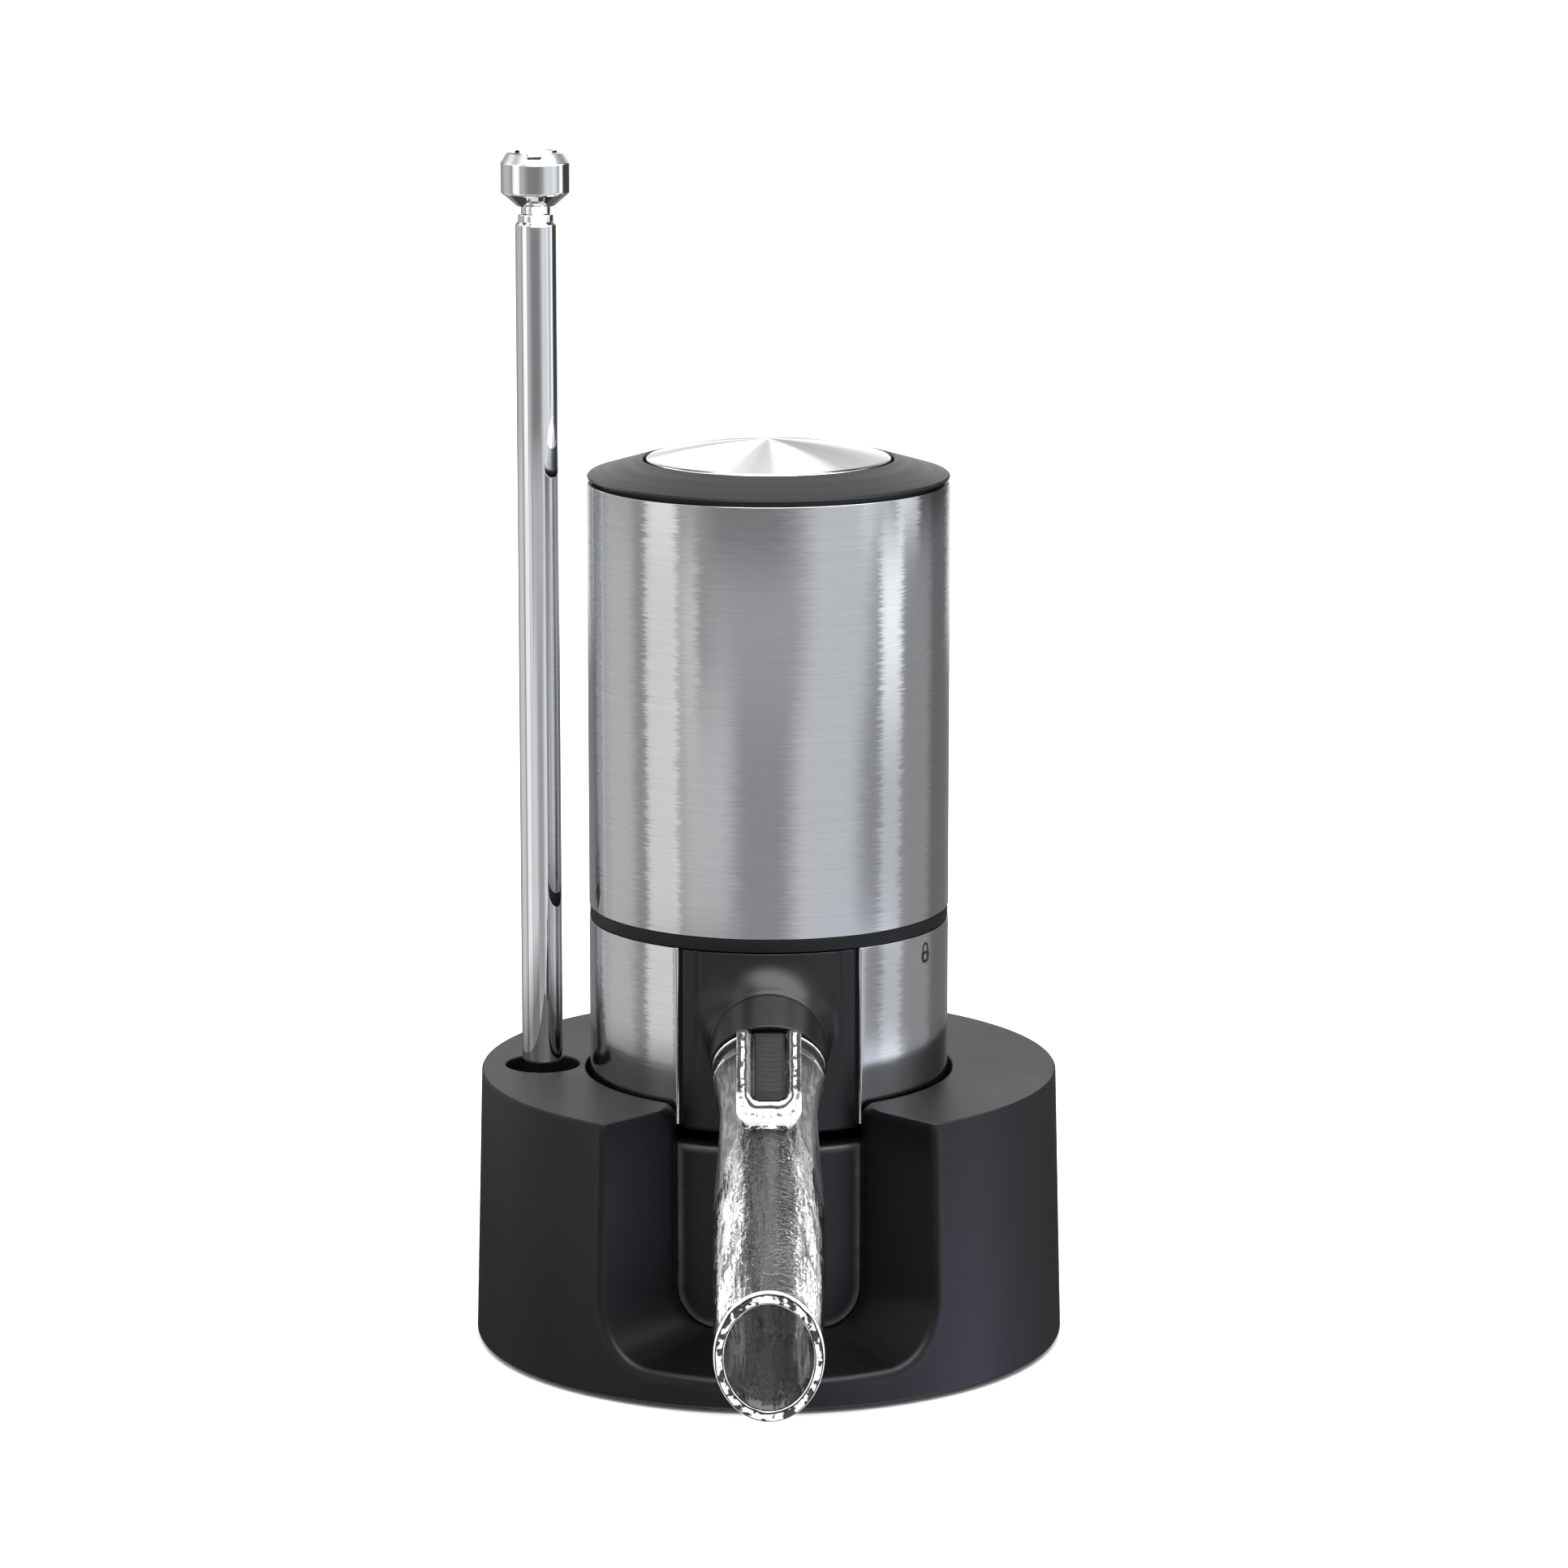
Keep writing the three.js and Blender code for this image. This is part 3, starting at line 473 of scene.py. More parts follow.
def sector(name, profile, a0, a1, n, key, bevel=0.12, smooth=32, outer=None):
    """A rounded profile swept about Z between two angles in degrees. bevel eases both ends; outer rounds only their outer corner."""
    pts = np.array(rounded(profile, True, 4))
    lo, hi = pts.min(0), pts.max(0)
    mid, size = (lo + hi) / 2, (hi - lo) / 2
    b = bevel if outer is None else outer
    da = math.degrees(b / float(hi[0]))

    def eased(u):
        k = b * (1 - math.sqrt(max(0.0, 1 - (1 - u) ** 2)))
        if outer is None:
            return mid + (pts - mid) * np.maximum(0.2, 1 - k / size)
        out = pts.copy()
        out[:, 0] -= k * (pts[:, 0] - lo[0]) / (hi[0] - lo[0])
        return out

    ends = [0.0, 0.04, 0.14, 0.3, 0.5, 0.75] if outer else [0.0, 0.15, 0.5]
    steps = [(a0 + da * u, eased(u)) for u in ends]
    steps += [(a, pts) for a in np.linspace(a0 + da, a1 - da, n)]
    steps += [(a1 - da * u, eased(u)) for u in ends[::-1]]
    verts, m = [], len(pts)
    for a, p in steps:
        c, s_ = math.cos(rad(a)), math.sin(rad(a))
        verts += [(r * c, r * s_, z) for r, z in p]
    faces = []
    for i in range(len(steps) - 1):
        for j in range(m):
            k = (j + 1) % m
            faces.append((i * m + j, i * m + k, (i + 1) * m + k, (i + 1) * m + j))
    faces.append(tuple(range(m)))
    faces.append(tuple(range((len(steps) - 1) * m, len(steps) * m))[::-1])
    return build(name, verts, faces, key, smooth)


def grid_faces(nu, nv, wrap_u=False, wrap_v=False, start=0):
    i = np.arange(nu if wrap_u else nu - 1)
    j = np.arange(nv if wrap_v else nv - 1)
    i, j = np.meshgrid(i, j, indexing="ij")
    a = i * nv + j
    b = ((i + 1) % nu) * nv + j
    c = ((i + 1) % nu) * nv + (j + 1) % nv
    d = i * nv + (j + 1) % nv
    return (np.stack([a, b, c, d], -1).reshape(-1, 4) + start).tolist()


# ---- implicit solids: a function that is negative inside, in millimetres
def both(a, b, r):
    """Intersection of two solids whose common edge is rounded with radius r."""
    u, v = np.maximum(a + r, 0), np.maximum(b + r, 0)
    return np.minimum(-r, np.maximum(a, b)) + np.sqrt(u * u + v * v)


def either(a, b, r):
    """Union of two solids with a fillet of radius r in the corner between them."""
    u, v = np.maximum(r - a, 0), np.maximum(r - b, 0)
    return np.maximum(r, np.minimum(a, b)) - np.sqrt(u * u + v * v)


def polygon(px, py, pts):
    """Distance from a closed polygon, negative inside."""
    pts = np.asarray(pts, float)
    d = (px - pts[0, 0]) ** 2 + (py - pts[0, 1]) ** 2
    s = np.ones_like(px)
    for i in range(len(pts)):
        a, b = pts[i], pts[i - 1]
        ex, ey = b[0] - a[0], b[1] - a[1]
        wx, wy = px - a[0], py - a[1]
        t = np.clip((wx * ex + wy * ey) / (ex * ex + ey * ey), 0, 1)
        d = np.minimum(d, (wx - ex * t) ** 2 + (wy - ey * t) ** 2)
        c1, c2, c3 = py >= a[1], py < b[1], ex * wy > ey * wx
        s = np.where((c1 & c2 & c3) | (~c1 & ~c2 & ~c3), -s, s)
    return s * np.sqrt(d)


def step(x, a, b):
    t = np.clip((x - a) / (b - a), 0, 1)
    return t * t * (3 - 2 * t)


def implicit(name, f, grid, key, wrap=False, relax=2, **marks):
    """Closed mesh of f = 0 over a grid of points [i, j, k, xyz]. Every vertex lies on the surface, with its true normal."""
    if wrap:
        grid = np.concatenate([grid, grid[:, :1]], 1)
    F = f(grid[..., 0], grid[..., 1], grid[..., 2])
    S = F < 0
    ni, nj, nk = F.shape
    s = S.astype(np.int8)
    total = sum(
        s[a:ni - 1 + a, b:nj - 1 + b, c:nk - 1 + c] for a in (0, 1) for b in (0, 1) for c in (0, 1)
    )
    cells = np.argwhere((total > 0) & (total < 8))
    index = -np.ones((ni - 1, nj - 1, nk - 1), int)
    index[tuple(cells.T)] = np.arange(len(cells))
    acc, cnt = np.zeros((len(cells), 3)), np.zeros(len(cells))
    corners = [(a, b, c) for a in (0, 1) for b in (0, 1) for c in (0, 1)]
    for p in corners:
        for axis in range(3):
            if p[axis]:
                continue
            q = list(p)
            q[axis] = 1
            i0, i1 = tuple((cells + p).T), tuple((cells + q).T)
            f0, f1 = F[i0], F[i1]
            cross = (f0 < 0) != (f1 < 0)
            t = np.where(cross, f0 / np.where(cross, f0 - f1, 1), 0)[:, None]
            acc += np.where(cross[:, None], grid[i0] + (grid[i1] - grid[i0]) * t, 0)
            cnt += cross
    V = acc / cnt[:, None]

    def slope(P):
        h, g = 0.004, np.empty_like(P)
        for a in range(3):
            d = np.zeros(3)
            d[a] = h
            A, B = P + d, P - d
            g[:, a] = (f(A[:, 0], A[:, 1], A[:, 2]) - f(B[:, 0], B[:, 1], B[:, 2])) / (2 * h)
        return g

    def project(P, times):
        for _ in range(times):
            g = slope(P)
            v = f(P[:, 0], P[:, 1], P[:, 2])
            move = -g * (v / np.maximum((g * g).sum(1), 1e-9))[:, None]
            size = np.linalg.norm(move, axis=1, keepdims=True)
            P = P + move * np.minimum(1, 0.4 / np.maximum(size, 1e-9))
        return P

    faces = []
    if wrap:
        nj -= 1
    for axis in range(3):
        n = [ni, nj + (1 if wrap else 0), nk]
        idx = np.argwhere(
            S[tuple(slice(0, n[a] - (a == axis)) for a in range(3))]
            != S[tuple(slice(1 if a == axis else 0, n[a]) for a in range(3))]
        )
        o = [a for a in range(3) if a != axis]
        around = []
        keep = np.ones(len(idx), bool)
        for da, db in ((-1, -1), (0, -1), (0, 0), (-1, 0)):
            c = idx.copy()
            c[:, o[0]] += da
            c[:, o[1]] += db
            if wrap:
                c[:, 1] %= nj
            lim = np.array([ni - 1, nj if wrap else nj - 1, nk - 1])
            keep &= ((c >= 0) & (c < lim)).all(1)
            around.append(c)
        if wrap and axis != 1:
            keep &= idx[:, 1] < nj
        idx = idx[keep]
        quad = np.stack([index[tuple(c[keep].T)] for c in around], 1)
        flip = S[tuple(idx.T)] ^ (axis == 1)
        quad = np.where(flip[:, None], quad, quad[:, ::-1])
        faces.append(quad)
    faces = np.concatenate(faces)
    faces = faces[(faces >= 0).all(1)]
    V = project(V, 4)
    edges = np.concatenate([faces[:, [i, (i + 1) % 4]] for i in range(4)])
    for _ in range(relax):
        around, count = np.zeros_like(V), np.zeros(len(V))
        for a, b in ((0, 1), (1, 0)):
            np.add.at(around, edges[:, a], V[edges[:, b]])
            np.add.at(count, edges[:, a], 1)
        V = project(V + (around / np.maximum(count, 1)[:, None] - V) * 0.5, 3)
    g = slope(V)
    normals = g / np.maximum(np.linalg.norm(g, axis=1, keepdims=True), 1e-9)
    # faces wind so that they look outwards
    a, b, c, d = (V[faces[:, i]] for i in range(4))
    out = (np.cross(c - a, d - b) * normals[faces].mean(1)).sum(1)
    if (out < 0).sum() > len(out) / 2:
        faces = faces[:, ::-1]
    ob = build(name, V, faces, key, normals=normals, fix=False)
    for label, mark in marks.items():
        value = np.clip(mark(V[:, 0], V[:, 1], V[:, 2]), 0, 1)
        ob.data.attributes.new(label, "FLOAT", "POINT").data.foreach_set("value", value.tolist())
    return ob


def spread(*parts):
    """Grid lines from (start, end, step) parts."""
    out = []
    for a, b, s in parts:
        n = max(1, int(round((b - a) / s)))
        out += list(a + (b - a) * np.arange(n) / n)
    return np.array(out + [parts[-1][1]])


def round_grid(r, deg, z, centre=(0.0, 0.0)):
    R, T, Z = np.meshgrid(r, np.radians(deg), z, indexing="ij")
    return np.stack([centre[0] + R * np.cos(T), centre[1] + R * np.sin(T), Z], -1)


def box_grid(x, y, z):
    return np.stack(np.meshgrid(x, y, z, indexing="ij"), -1)


# ---------------------------------------------------------------- stand
WELL_R, DECK = 30.8, 46.06
HOLE = (-38.05, 0.45, 6.2)


def notch(x, y, z, grow=0.0):
    """The U-shaped space in front: straight at the well, splayed from y = -29.3, its floor falling outwards."""
    t = -29.3 - y
    wide = 15.1 + 1.09 * 0.5 * (t + np.sqrt(t * t + 0.8)) + grow
    k = wide / 15.1
    c = 6.0 * k
    floor = 8.6 - 0.162 * (-30.5 - y) - grow
    qx, qz = np.abs(x) - (wide - c), floor + c - z
    d = np.sqrt(np.maximum(qx, 0) ** 2 + np.maximum(qz, 0) ** 2) + np.minimum(np.maximum(qx, qz), 0) - c
    return np.maximum(d * 0.82, y + 22.0)


def stand_shell(x, y, z):
    r = np.sqrt(x * x + y * y)
    side = r - (49.4 - 1.2 * z / 46.06)
    space = -notch(x, y, z)
    f = both(side, space, 1.0)
    tip = 0.35 + 1.7 * step(y, -33.0, -30.6) * step(-y, 24.0, 26.5) * step(-np.abs(x), -18.5, -16.2)
    f = both(f, z - DECK, tip)
    f = both(f, 0.7 - z, 0.6)
    f = both(f, WELL_R - r, 0.35)
    hole = np.sqrt((x - HOLE[0]) ** 2 + (y - HOLE[1]) ** 2) - HOLE[2]
    f = both(f, -np.maximum(hole, 5.9 - z), 0.3)
    return np.maximum(f, -np.maximum(r - 47.0, z - 4.0))


grid = round_grid(
    spread((29.6, 30.2, 0.6), (30.2, 32.4, 0.28), (32.4, 46.4, 0.45), (46.4, 50.2, 0.28)),
    spread((-90, -38, 0.62), (-38, 165, 2.6), (165, 195, 0.8), (195, 218, 2.6), (218, 269.4, 0.62))[:-1],
    spread((0.1, 2.5, 0.3), (2.5, 5, 0.8), (5, 19, 0.55), (19, 43, 2.0), (43, 44.8, 0.45), (44.8, 47.0, 0.22)),
)


def near(a, b, reach):
    """1 where two faces meet, falling to 0 a little way along either of them."""
    return np.clip(1 - (np.maximum(-a, 0) + np.maximum(-b, 0)) / reach, 0, 1) ** 1.5


# where the notch's outer fillet meets the side: where the stand gets a painted highlight
def stand_edge_highlight(x, y, z):
    r = np.sqrt(x * x + y * y)
    return near(r - (49.4 - 1.2 * z / 46.06), -notch(x, y, z), 1.9) * step(-z, -46.0, -44.0)


# inside the notch, below the deck: where the stand gets painted shade
def stand_recess_shade(x, y, z):
    return (1 - step(notch(x, y, z), 0.5, 1.5)) * step(-z, -45.6, -44.5)


place(implicit("stand_shell_detail", stand_shell, grid, "stand", wrap=True, relax=2, edge=stand_edge_highlight, deep=stand_recess_shade), "stand", "stand", "stand_shell")

place(lathe("cradle_cup_detail", [
    (0, 4.2), (18.8, 4.2, .4), (18.8, 26.2, 1.0), (24.9, 26.2, .3), (24.9, 37.5), (28.3, 37.5), (28.3, 4.0, .3),
    (30.3, 4.0, .4), (30.3, 39.5, .5), (22.9, 39.5, .6), (22.9, 28.2, .8), (17.0, 28.2, .8), (17.0, 6.0, 1.5), (0, 6.0),
], "cup", 144, closed=False), "stand", "cup", "cradle_cup")


def front_panel(x, y, z):
    r = np.sqrt(x * x + y * y)
    f = both(r - 31.08, notch(x, y, z, -0.05), 0.45)
    f = both(f, z - 39.45, 0.6)
    return np.maximum(f, 29.6 - r)


# round the panel's outer fillets and top edge: where the panel gets a painted highlight
def panel_edge_highlight(x, y, z):
    r = np.sqrt(x * x + y * y)
    outer, cut, top = r - 31.08, notch(x, y, z, -0.05), z - 39.45
    return np.maximum(near(outer, cut, 1.25), 0.6 * near(outer, top, 1.3)) * (r > 30.2)


place(implicit("cradle_panel", front_panel, box_grid(
    spread((-15.6, -11.0, 0.23), (-11.0, 11.0, 0.55), (11.0, 15.6, 0.23)), spread((-31.9, -24.2, 0.25)), spread((6.6, 16.6, 0.3), (16.6, 37.6, 1.0), (37.6, 40.4, 0.25)),
), "cup", edge=panel_edge_highlight), "stand", "cup", "cradle_cup")

place(lathe("stand_base_plate", [
    (0, 1.6), (46.7, 1.6, .3), (46.7, 3.7, .3), (0, 3.7),
], "black", 128, closed=False), "stand", "black", "stand_bottom_plate")
place(lathe("stand_foot_pad", [
    (0, 0.0), (30, 0.0), (30.4, 0.35), (31.6, 0.35), (32, 0.0), (45.2, 0.0, .3), (46.4, 0.35, .3), (46.5, 1.3), (0, 1.3),
], "rubber", 128, closed=False), "stand", "rubber", "non_slip_pad")

# ---------------------------------------------------------------- lower unit
TILT = rad(35)
SO = np.array([0.0, -32.6, 54.0])
SA = np.array([0.0, -math.cos(TILT), -math.sin(TILT)])   # along the spout
SU = np.array([0.0, -math.sin(TILT), math.cos(TILT)])    # up from its axis


def spout_coords(x, y, z):
    dy, dz = y - SO[1], z - SO[2]
    return dy * SA[1] + dz * SA[2], dy * SU[1] + dz * SU[2]


def lower_core(x, y, z):
    r = np.sqrt(x * x + y * y)
    s, u = spout_coords(x, y, z)
    q = np.sqrt(x * x + u * u)
    az = np.degrees(np.arctan2(np.abs(x), -y))
    # drum behind the sleeve
    drum = np.maximum(r - 28.85, 4.6 - r)
    drum = both(drum, z - 71.9, 0.3)
    drum = both(drum, 41.5 - z, 0.5)
    drum = np.maximum(drum, -np.maximum(r - 26.9, 43.7 - z))
    # curved front panel with a shallow line down each side
    edge = np.abs(x) * math.cos(rad(28.5)) + y * math.sin(rad(28.5))
    line = 0.26 * np.exp(-(((az - 23.2) * 0.52) / 0.24) ** 2) * step(z, 49.0, 58.0)
    face = both(r - 29.6 + line, edge, 0.25)
    face = both(face, z - 71.9, 0.3)
    face = both(face, 41.5 - z, 0.7)
    panel = np.maximum(face, np.maximum(27.2 - r, y))
    f = np.minimum(drum, panel)
    # boss of the spout, with a fillet into the panel
    boss = q - (9.45 - 0.0464 * s)
    boss = both(boss, s, 0.35)
    boss = np.maximum(boss, -14.0 - s)
    boss = np.maximum(boss, 26.0 - r)
    blend = 0.5 + 2.6 * step(u, -4.0, 5.0)
    crease = np.exp(-((f - blend * 0.93) / 0.26) ** 2) * step(u, -6.5, -2.0)
    f = either(f, boss, blend) + 0.12 * crease
    f = np.maximum(f, 41.5 - z)
    # socket, collar seat and latch slot
    f = both(f, -np.maximum(q - 7.5, -10.5 - s), 0.2)
    f = np.maximum(f, -np.maximum(q - 9.6, -s))
    f = np.maximum(f, -np.maximum(q - 5.5, -s - 20.0))
    f = np.maximum(f, -np.maximum(np.maximum(np.abs(x) - 2.55, np.abs(u - 7.84) - 0.64), np.maximum(-4.6 - s, s - 2)))
    return f


grid = round_grid(
    spread((4.2, 5.2, 0.5), (5.2, 26.2, 3.0), (26.2, 28.2, 0.5), (28.2, 39.4, 0.25)),
    spread((-90, -70, 0.42), (-70, -60, 0.7), (-60, 240, 4.0), (240, 250, 0.7), (250, 269.7, 0.42))[:-1],
    spread((41.1, 44.3, 0.36), (44.3, 52.0, 0.4), (52.0, 66.0, 0.25), (66.0, 71.3, 0.5), (71.3, 72.3, 0.25)),
)
place(implicit("lower_core_detail", lower_core, grid, "black", wrap=True), "lower_unit", "black", "lower_core")

# The C-shaped steel sleeve; its cut edges are turned in.
place(sector("lower_sleeve_detail", [
    (28.98, 42.3, .25), (30.0, 42.3, .22), (30.0, 72.0, .07), (28.98, 72.0, .15),
], -90 + 29.7, 270 - 29.7, 190, "steel", outer=0.62, smooth=40), "lower_unit", "steel", "lower_sleeve")

place(lathe("neck_plate_detail", [
    (1.6, 72.1), (29.88, 72.1, .12), (29.88, 74.2, .12), (24.0, 74.1, .4), (24.0, 80.0, .5), (22.0, 80.0, .5),
    (22.0, 74.1, .4), (5.2, 74.1, .3), (5.2, 78.0, .5), (3.6, 78.0, .5), (3.6, 73.4), (1.6, 73.4),
], "seam", 160), "lower_unit", "seam", "neck_plate")
for i, a in enumerate((30, 150, 270)):
    place(sector(f"neck_lug_{i + 1}", [
        (23.6, 77.6, .2), (25.9, 77.6, .35), (25.9, 79.6, .35), (23.6, 79.6, .2),
    ], a - 12, a + 12, 14, "seam", bevel=0.4), "lower_unit", "seam", "neck_plate")

place(lathe("bottle_collar_detail", [
    (9.9, 39.3), (19.6, 39.3, .8), (19.6, 28.6, .7), (22.2, 28.6, .7), (22.2, 41.2), (9.9, 41.2),
], "black", 128), "lower_unit", "black", "bottle_collar")
place(lathe("bottle_stopper_detail", [
    (3.3, 14.5, .4), (7.9, 14.5, .8), (9.0, 17.0, .6), (9.9, 19.5, .5), (8.9, 20.7, .5), (10.1, 26.0, .5),
    (9.1, 27.2, .5), (10.3, 32.5, .5), (9.3, 33.7, .5), (9.4, 41.2), (3.3, 41.2),
], "rubber", 96), "lower_unit", "rubber", "bottle_stopper")
place(lathe("suction_spigot_detail", [
    (1.9, 11.5, .2), (2.7, 11.5, .3), (3.0, 12.3, .4), (3.0, 18.0), (2.85, 18.3), (2.85, 18.9), (3.0, 19.2),
    (3.0, 41.6), (4.3, 41.6), (4.3, 43.4), (1.9, 43.4),
], "black", 48), "lower_unit", "black", "suction_spigot")

# ---- clear spout, built in its own frame: x across, u up from the axis, s along it
MOUTH = -82.0
BODY = np.array([
    (-9.0, 6.9), (-8.7, 7.2), (-6.35, 7.2), (-6.2, 6.7), (-4.8, 6.7), (-4.65, 7.2), (0.3, 7.2), (0.32, 9.0), (0.55, 9.2),
    (1.25, 9.2), (1.55, 8.95), (1.8, 8.55), (2.7, 8.5), (3.0, 8.8), (3.25, 9.0), (3.9, 9.0), (4.3, 8.85), (5.2, 8.6),
    (6.6, 8.3), (8.2, 8.05), (11.0, 7.85), (16.0, 8.05), (21.5, 8.35), (27.0, 8.65), (32.5, 8.85), (43.5, 8.9), (52.0, 8.72), (75.0, 8.64),
])


def outline(x, s, half, end, r):
    """Distance from a strip that ends square, with corners of radius r."""
    a, b = np.maximum(np.abs(x) - (half - r), 0), np.maximum(s - (end - r), 0)
    return np.sqrt(a * a + b * b) + np.minimum(np.maximum(np.abs(x) - (half - r), s - (end - r)), 0) - r


def outer_radius(s, phi):
    base = np.interp(s, BODY[:, 0], BODY[:, 1])
    x = 9.0 * np.tan(np.clip(phi, -1.2, 1.2))
    top = np.abs(phi) < 0.9
    c = np.cos(np.clip(phi, -0.9, 0.9))
    raised = 1 - step(outline(x, s, 5.2, 20.3, 2.6), -0.3, 0.3)
    raised = raised * step(s, 0.15, 0.75) * top
    out = base + (np.maximum(9.5 / c, base) - base) * raised
    sunk = (1 - step(outline(x, s, 2.95, 15.65, 1.7), -0.15, 0.15)) * top * (s > 0.3)
    return out + (np.minimum(7.2 / c, out) - out) * sunk


def spout_point(s, phi, r):
    P = SO[None, :] + np.multiply.outer(s.ravel(), SA) + np.multiply.outer((r * np.cos(phi)).ravel(), SU)
    P[:, 0] += (r * np.sin(phi)).ravel()
    return P


phi = np.radians(spread((-38, 38, 1.15), (38, 82, 1.6), (82, 278, 5.0), (278, 322, 1.6))[:-1])
phi = np.where(phi > math.pi, phi - 2 * math.pi, phi)
rows = np.array([-9.0, -8.7, -7.5, -6.35, -6.2, -4.8, -4.65, -2.0, 0.3])
rows = np.concatenate([rows, spread((0.32, 4.5, 0.19), (4.5, 21.4, 0.22), (21.4, 32.4, 0.32))])
S1, P1 = np.meshgrid(rows, phi, indexing="ij")
R1 = outer_radius(S1, P1)
end = (-32.6 - MOUTH - math.sin(TILT) * 8.64 * np.cos(phi)) / math.cos(TILT)
v = np.linspace(0, 1, 60)[1:]
S2 = rows[-1] + (end[None, :] - 0.5 - rows[-1]) * v[:, None]
P2 = np.broadcast_to(phi, S2.shape)
R2 = outer_radius(S2, P2)
layers = [spout_point(S1, P1, R1).reshape(len(rows), -1, 3), spout_point(S2, P2, R2).reshape(len(v), -1, 3)]


def on_mouth(r):
    s = (-32.6 - MOUTH - math.sin(TILT) * r * np.cos(phi)) / math.cos(TILT)
    return spout_point(s, phi, np.full(len(phi), r))[None]


lip_out, lip_in = on_mouth(8.64), on_mouth(7.04)
last = layers[1][-1:]
layers.append(last * 0.55 + lip_out * 0.41 + lip_in * 0.04)
layers.append(last * 0.22 + lip_out * 0.63 + lip_in * 0.15)
layers.append(last * 0.04 + lip_out * 0.66 + lip_in * 0.30)
layers.append(lip_out * 0.55 + lip_in * 0.45)
layers.append(lip_out * 0.36 + lip_in * 0.64)
BORE = np.array([(-9.0, 5.2), (1.0, 5.2), (2.0, 5.28), (9.0, 6.0), (30.0, 6.35), (60.0, 6.6), (80.0, 6.62)])
end_in = (-32.6 - MOUTH - math.sin(TILT) * 7.04 * np.cos(phi)) / math.cos(TILT)
w = np.linspace(1, 0, 44)
S3 = -9.0 + (end_in[None, :] - 0.45 + 9.0) * w[:, None]
P3 = np.broadcast_to(phi, S3.shape)
R3 = np.interp(S3, BORE[:, 0], BORE[:, 1])
R3 = R3 + 0.42 * np.clip(1 - (end_in[None, :] - S3) / 7.0, 0, 1) ** 2
bore = spout_point(S3, P3, R3).reshape(len(w), -1, 3)
layers.append(bore[:1] * 0.12 + lip_in * 0.70 + lip_out * 0.18)
layers.append(bore[:1] * 0.45 + lip_in * 0.49 + lip_out * 0.06)
layers.append(bore)
P = np.concatenate(layers)
verts = P.reshape(-1, 3)
faces = grid_faces(len(P), len(phi), wrap_u=True, wrap_v=True)
spout = build("spout_tube_detail", verts, faces, "clear", smooth=50)
spout.data.materials.append(M["bore"])
spout.data.materials.append(M["gleam"])
spout.data.materials.append(M["root"])
n_out, n_phi = len(rows) + len(v), len(phi)
n_rim = len(P) - n_out - len(w)
ss_face = np.concatenate([S1, S2])
xx_face = 9.0 * np.tan(np.clip(np.concatenate([P1, P2]), -1.2, 1.2))
far_out, far_in = -outline(xx_face, ss_face, 5.2, 20.3, 2.6), outline(xx_face, ss_face, 2.95, 15.65, 1.7)
# faces of the raised frame, which get the painted glints
wide_u = (far_out > 0.05) & (far_in > 0.05) & (ss_face > 1.2)
wide_u &= np.abs(np.concatenate([P1, P2])) < 0.8
side_x = np.abs(np.concatenate([R1, R2]) * np.sin(np.concatenate([P1, P2])))
# the root's sides beyond this reach get the darker copy: painted shade
reach = np.interp(ss_face, [19.0, 20.7, 22.7, 24.3, 26.6, 28.9, 31.0, 33.0], [5.0, 5.1, 5.9, 6.9, 7.2, 7.6, 8.5, 10.0])
painted_dark_root = (ss_face > 0.3) & (side_x > np.where(ss_face < 19, 4.6, reach))
# two dark lines painted down each side, standing in for the notch refracted through the wall
painted_refraction_lines = np.zeros(ss_face.shape)
for ends, offs, wide in (((37.0, 42.6), (7.1, 7.75), 0.26), ((44.0, 47.6), (5.9, 7.3), 0.30)):
    refraction_line = np.exp(-((side_x - np.interp(ss_face, ends, offs)) / wide) ** 2)
    refraction_line = refraction_line * step(ss_face, ends[0] - 0.6, ends[0] + 0.6) * (1 - step(ss_face, ends[1] - 0.6, ends[1] + 0.6))
    painted_refraction_lines = np.maximum(painted_refraction_lines, refraction_line)
painted_dark_root |= (painted_refraction_lines > 0.4) & (np.abs(np.concatenate([P1, P2])) < 1.5)
turn = np.abs(np.concatenate([P1, P2]))
# bands on the collar steps that get a painted highlight
shine = (ss_face > 0.5) & (ss_face < 0.8) & (turn > 0.56) & (turn < 1.45)
shine |= (ss_face > 3.1) & (ss_face < 3.5) & (turn > 0.95) & (turn < 1.75)
for poly in spout.data.polygons:
    i, j = divmod(poly.index, n_phi)
    if i >= len(P) - 1:
        poly.material_index = 0
    elif i >= n_out + n_rim - 1:
        poly.material_index = 1
    elif i >= n_out - 1:
        poly.material_index = 2
    elif wide_u[i, j] or shine[i, j]:
        poly.material_index = 2
    elif painted_dark_root[i, j]:
        poly.material_index = 3
xs_all = P[..., 0]
n_all = len(P)
# painted shade and painted glints, carried as attributes: the dark root and refraction lines, the lip and the rail
painted_show_through, lip, rail = np.zeros(P.shape[:2]), np.zeros(P.shape[:2]), np.zeros(P.shape[:2])
painted_show_through[:n_out] = 0.98 * np.maximum(step(side_x, reach - 0.3, reach + 0.3) * step(ss_face, 0.4, 1.0), painted_refraction_lines)
lip[:n_out] = np.clip(far_out / np.maximum(far_out + far_in, 0.3), 0, 1) * (np.abs(np.concatenate([P1, P2])) < 0.9)
rail[:n_out] = 0.5 + 0.5 * (1 - step(ss_face, 13.2, 15.0))
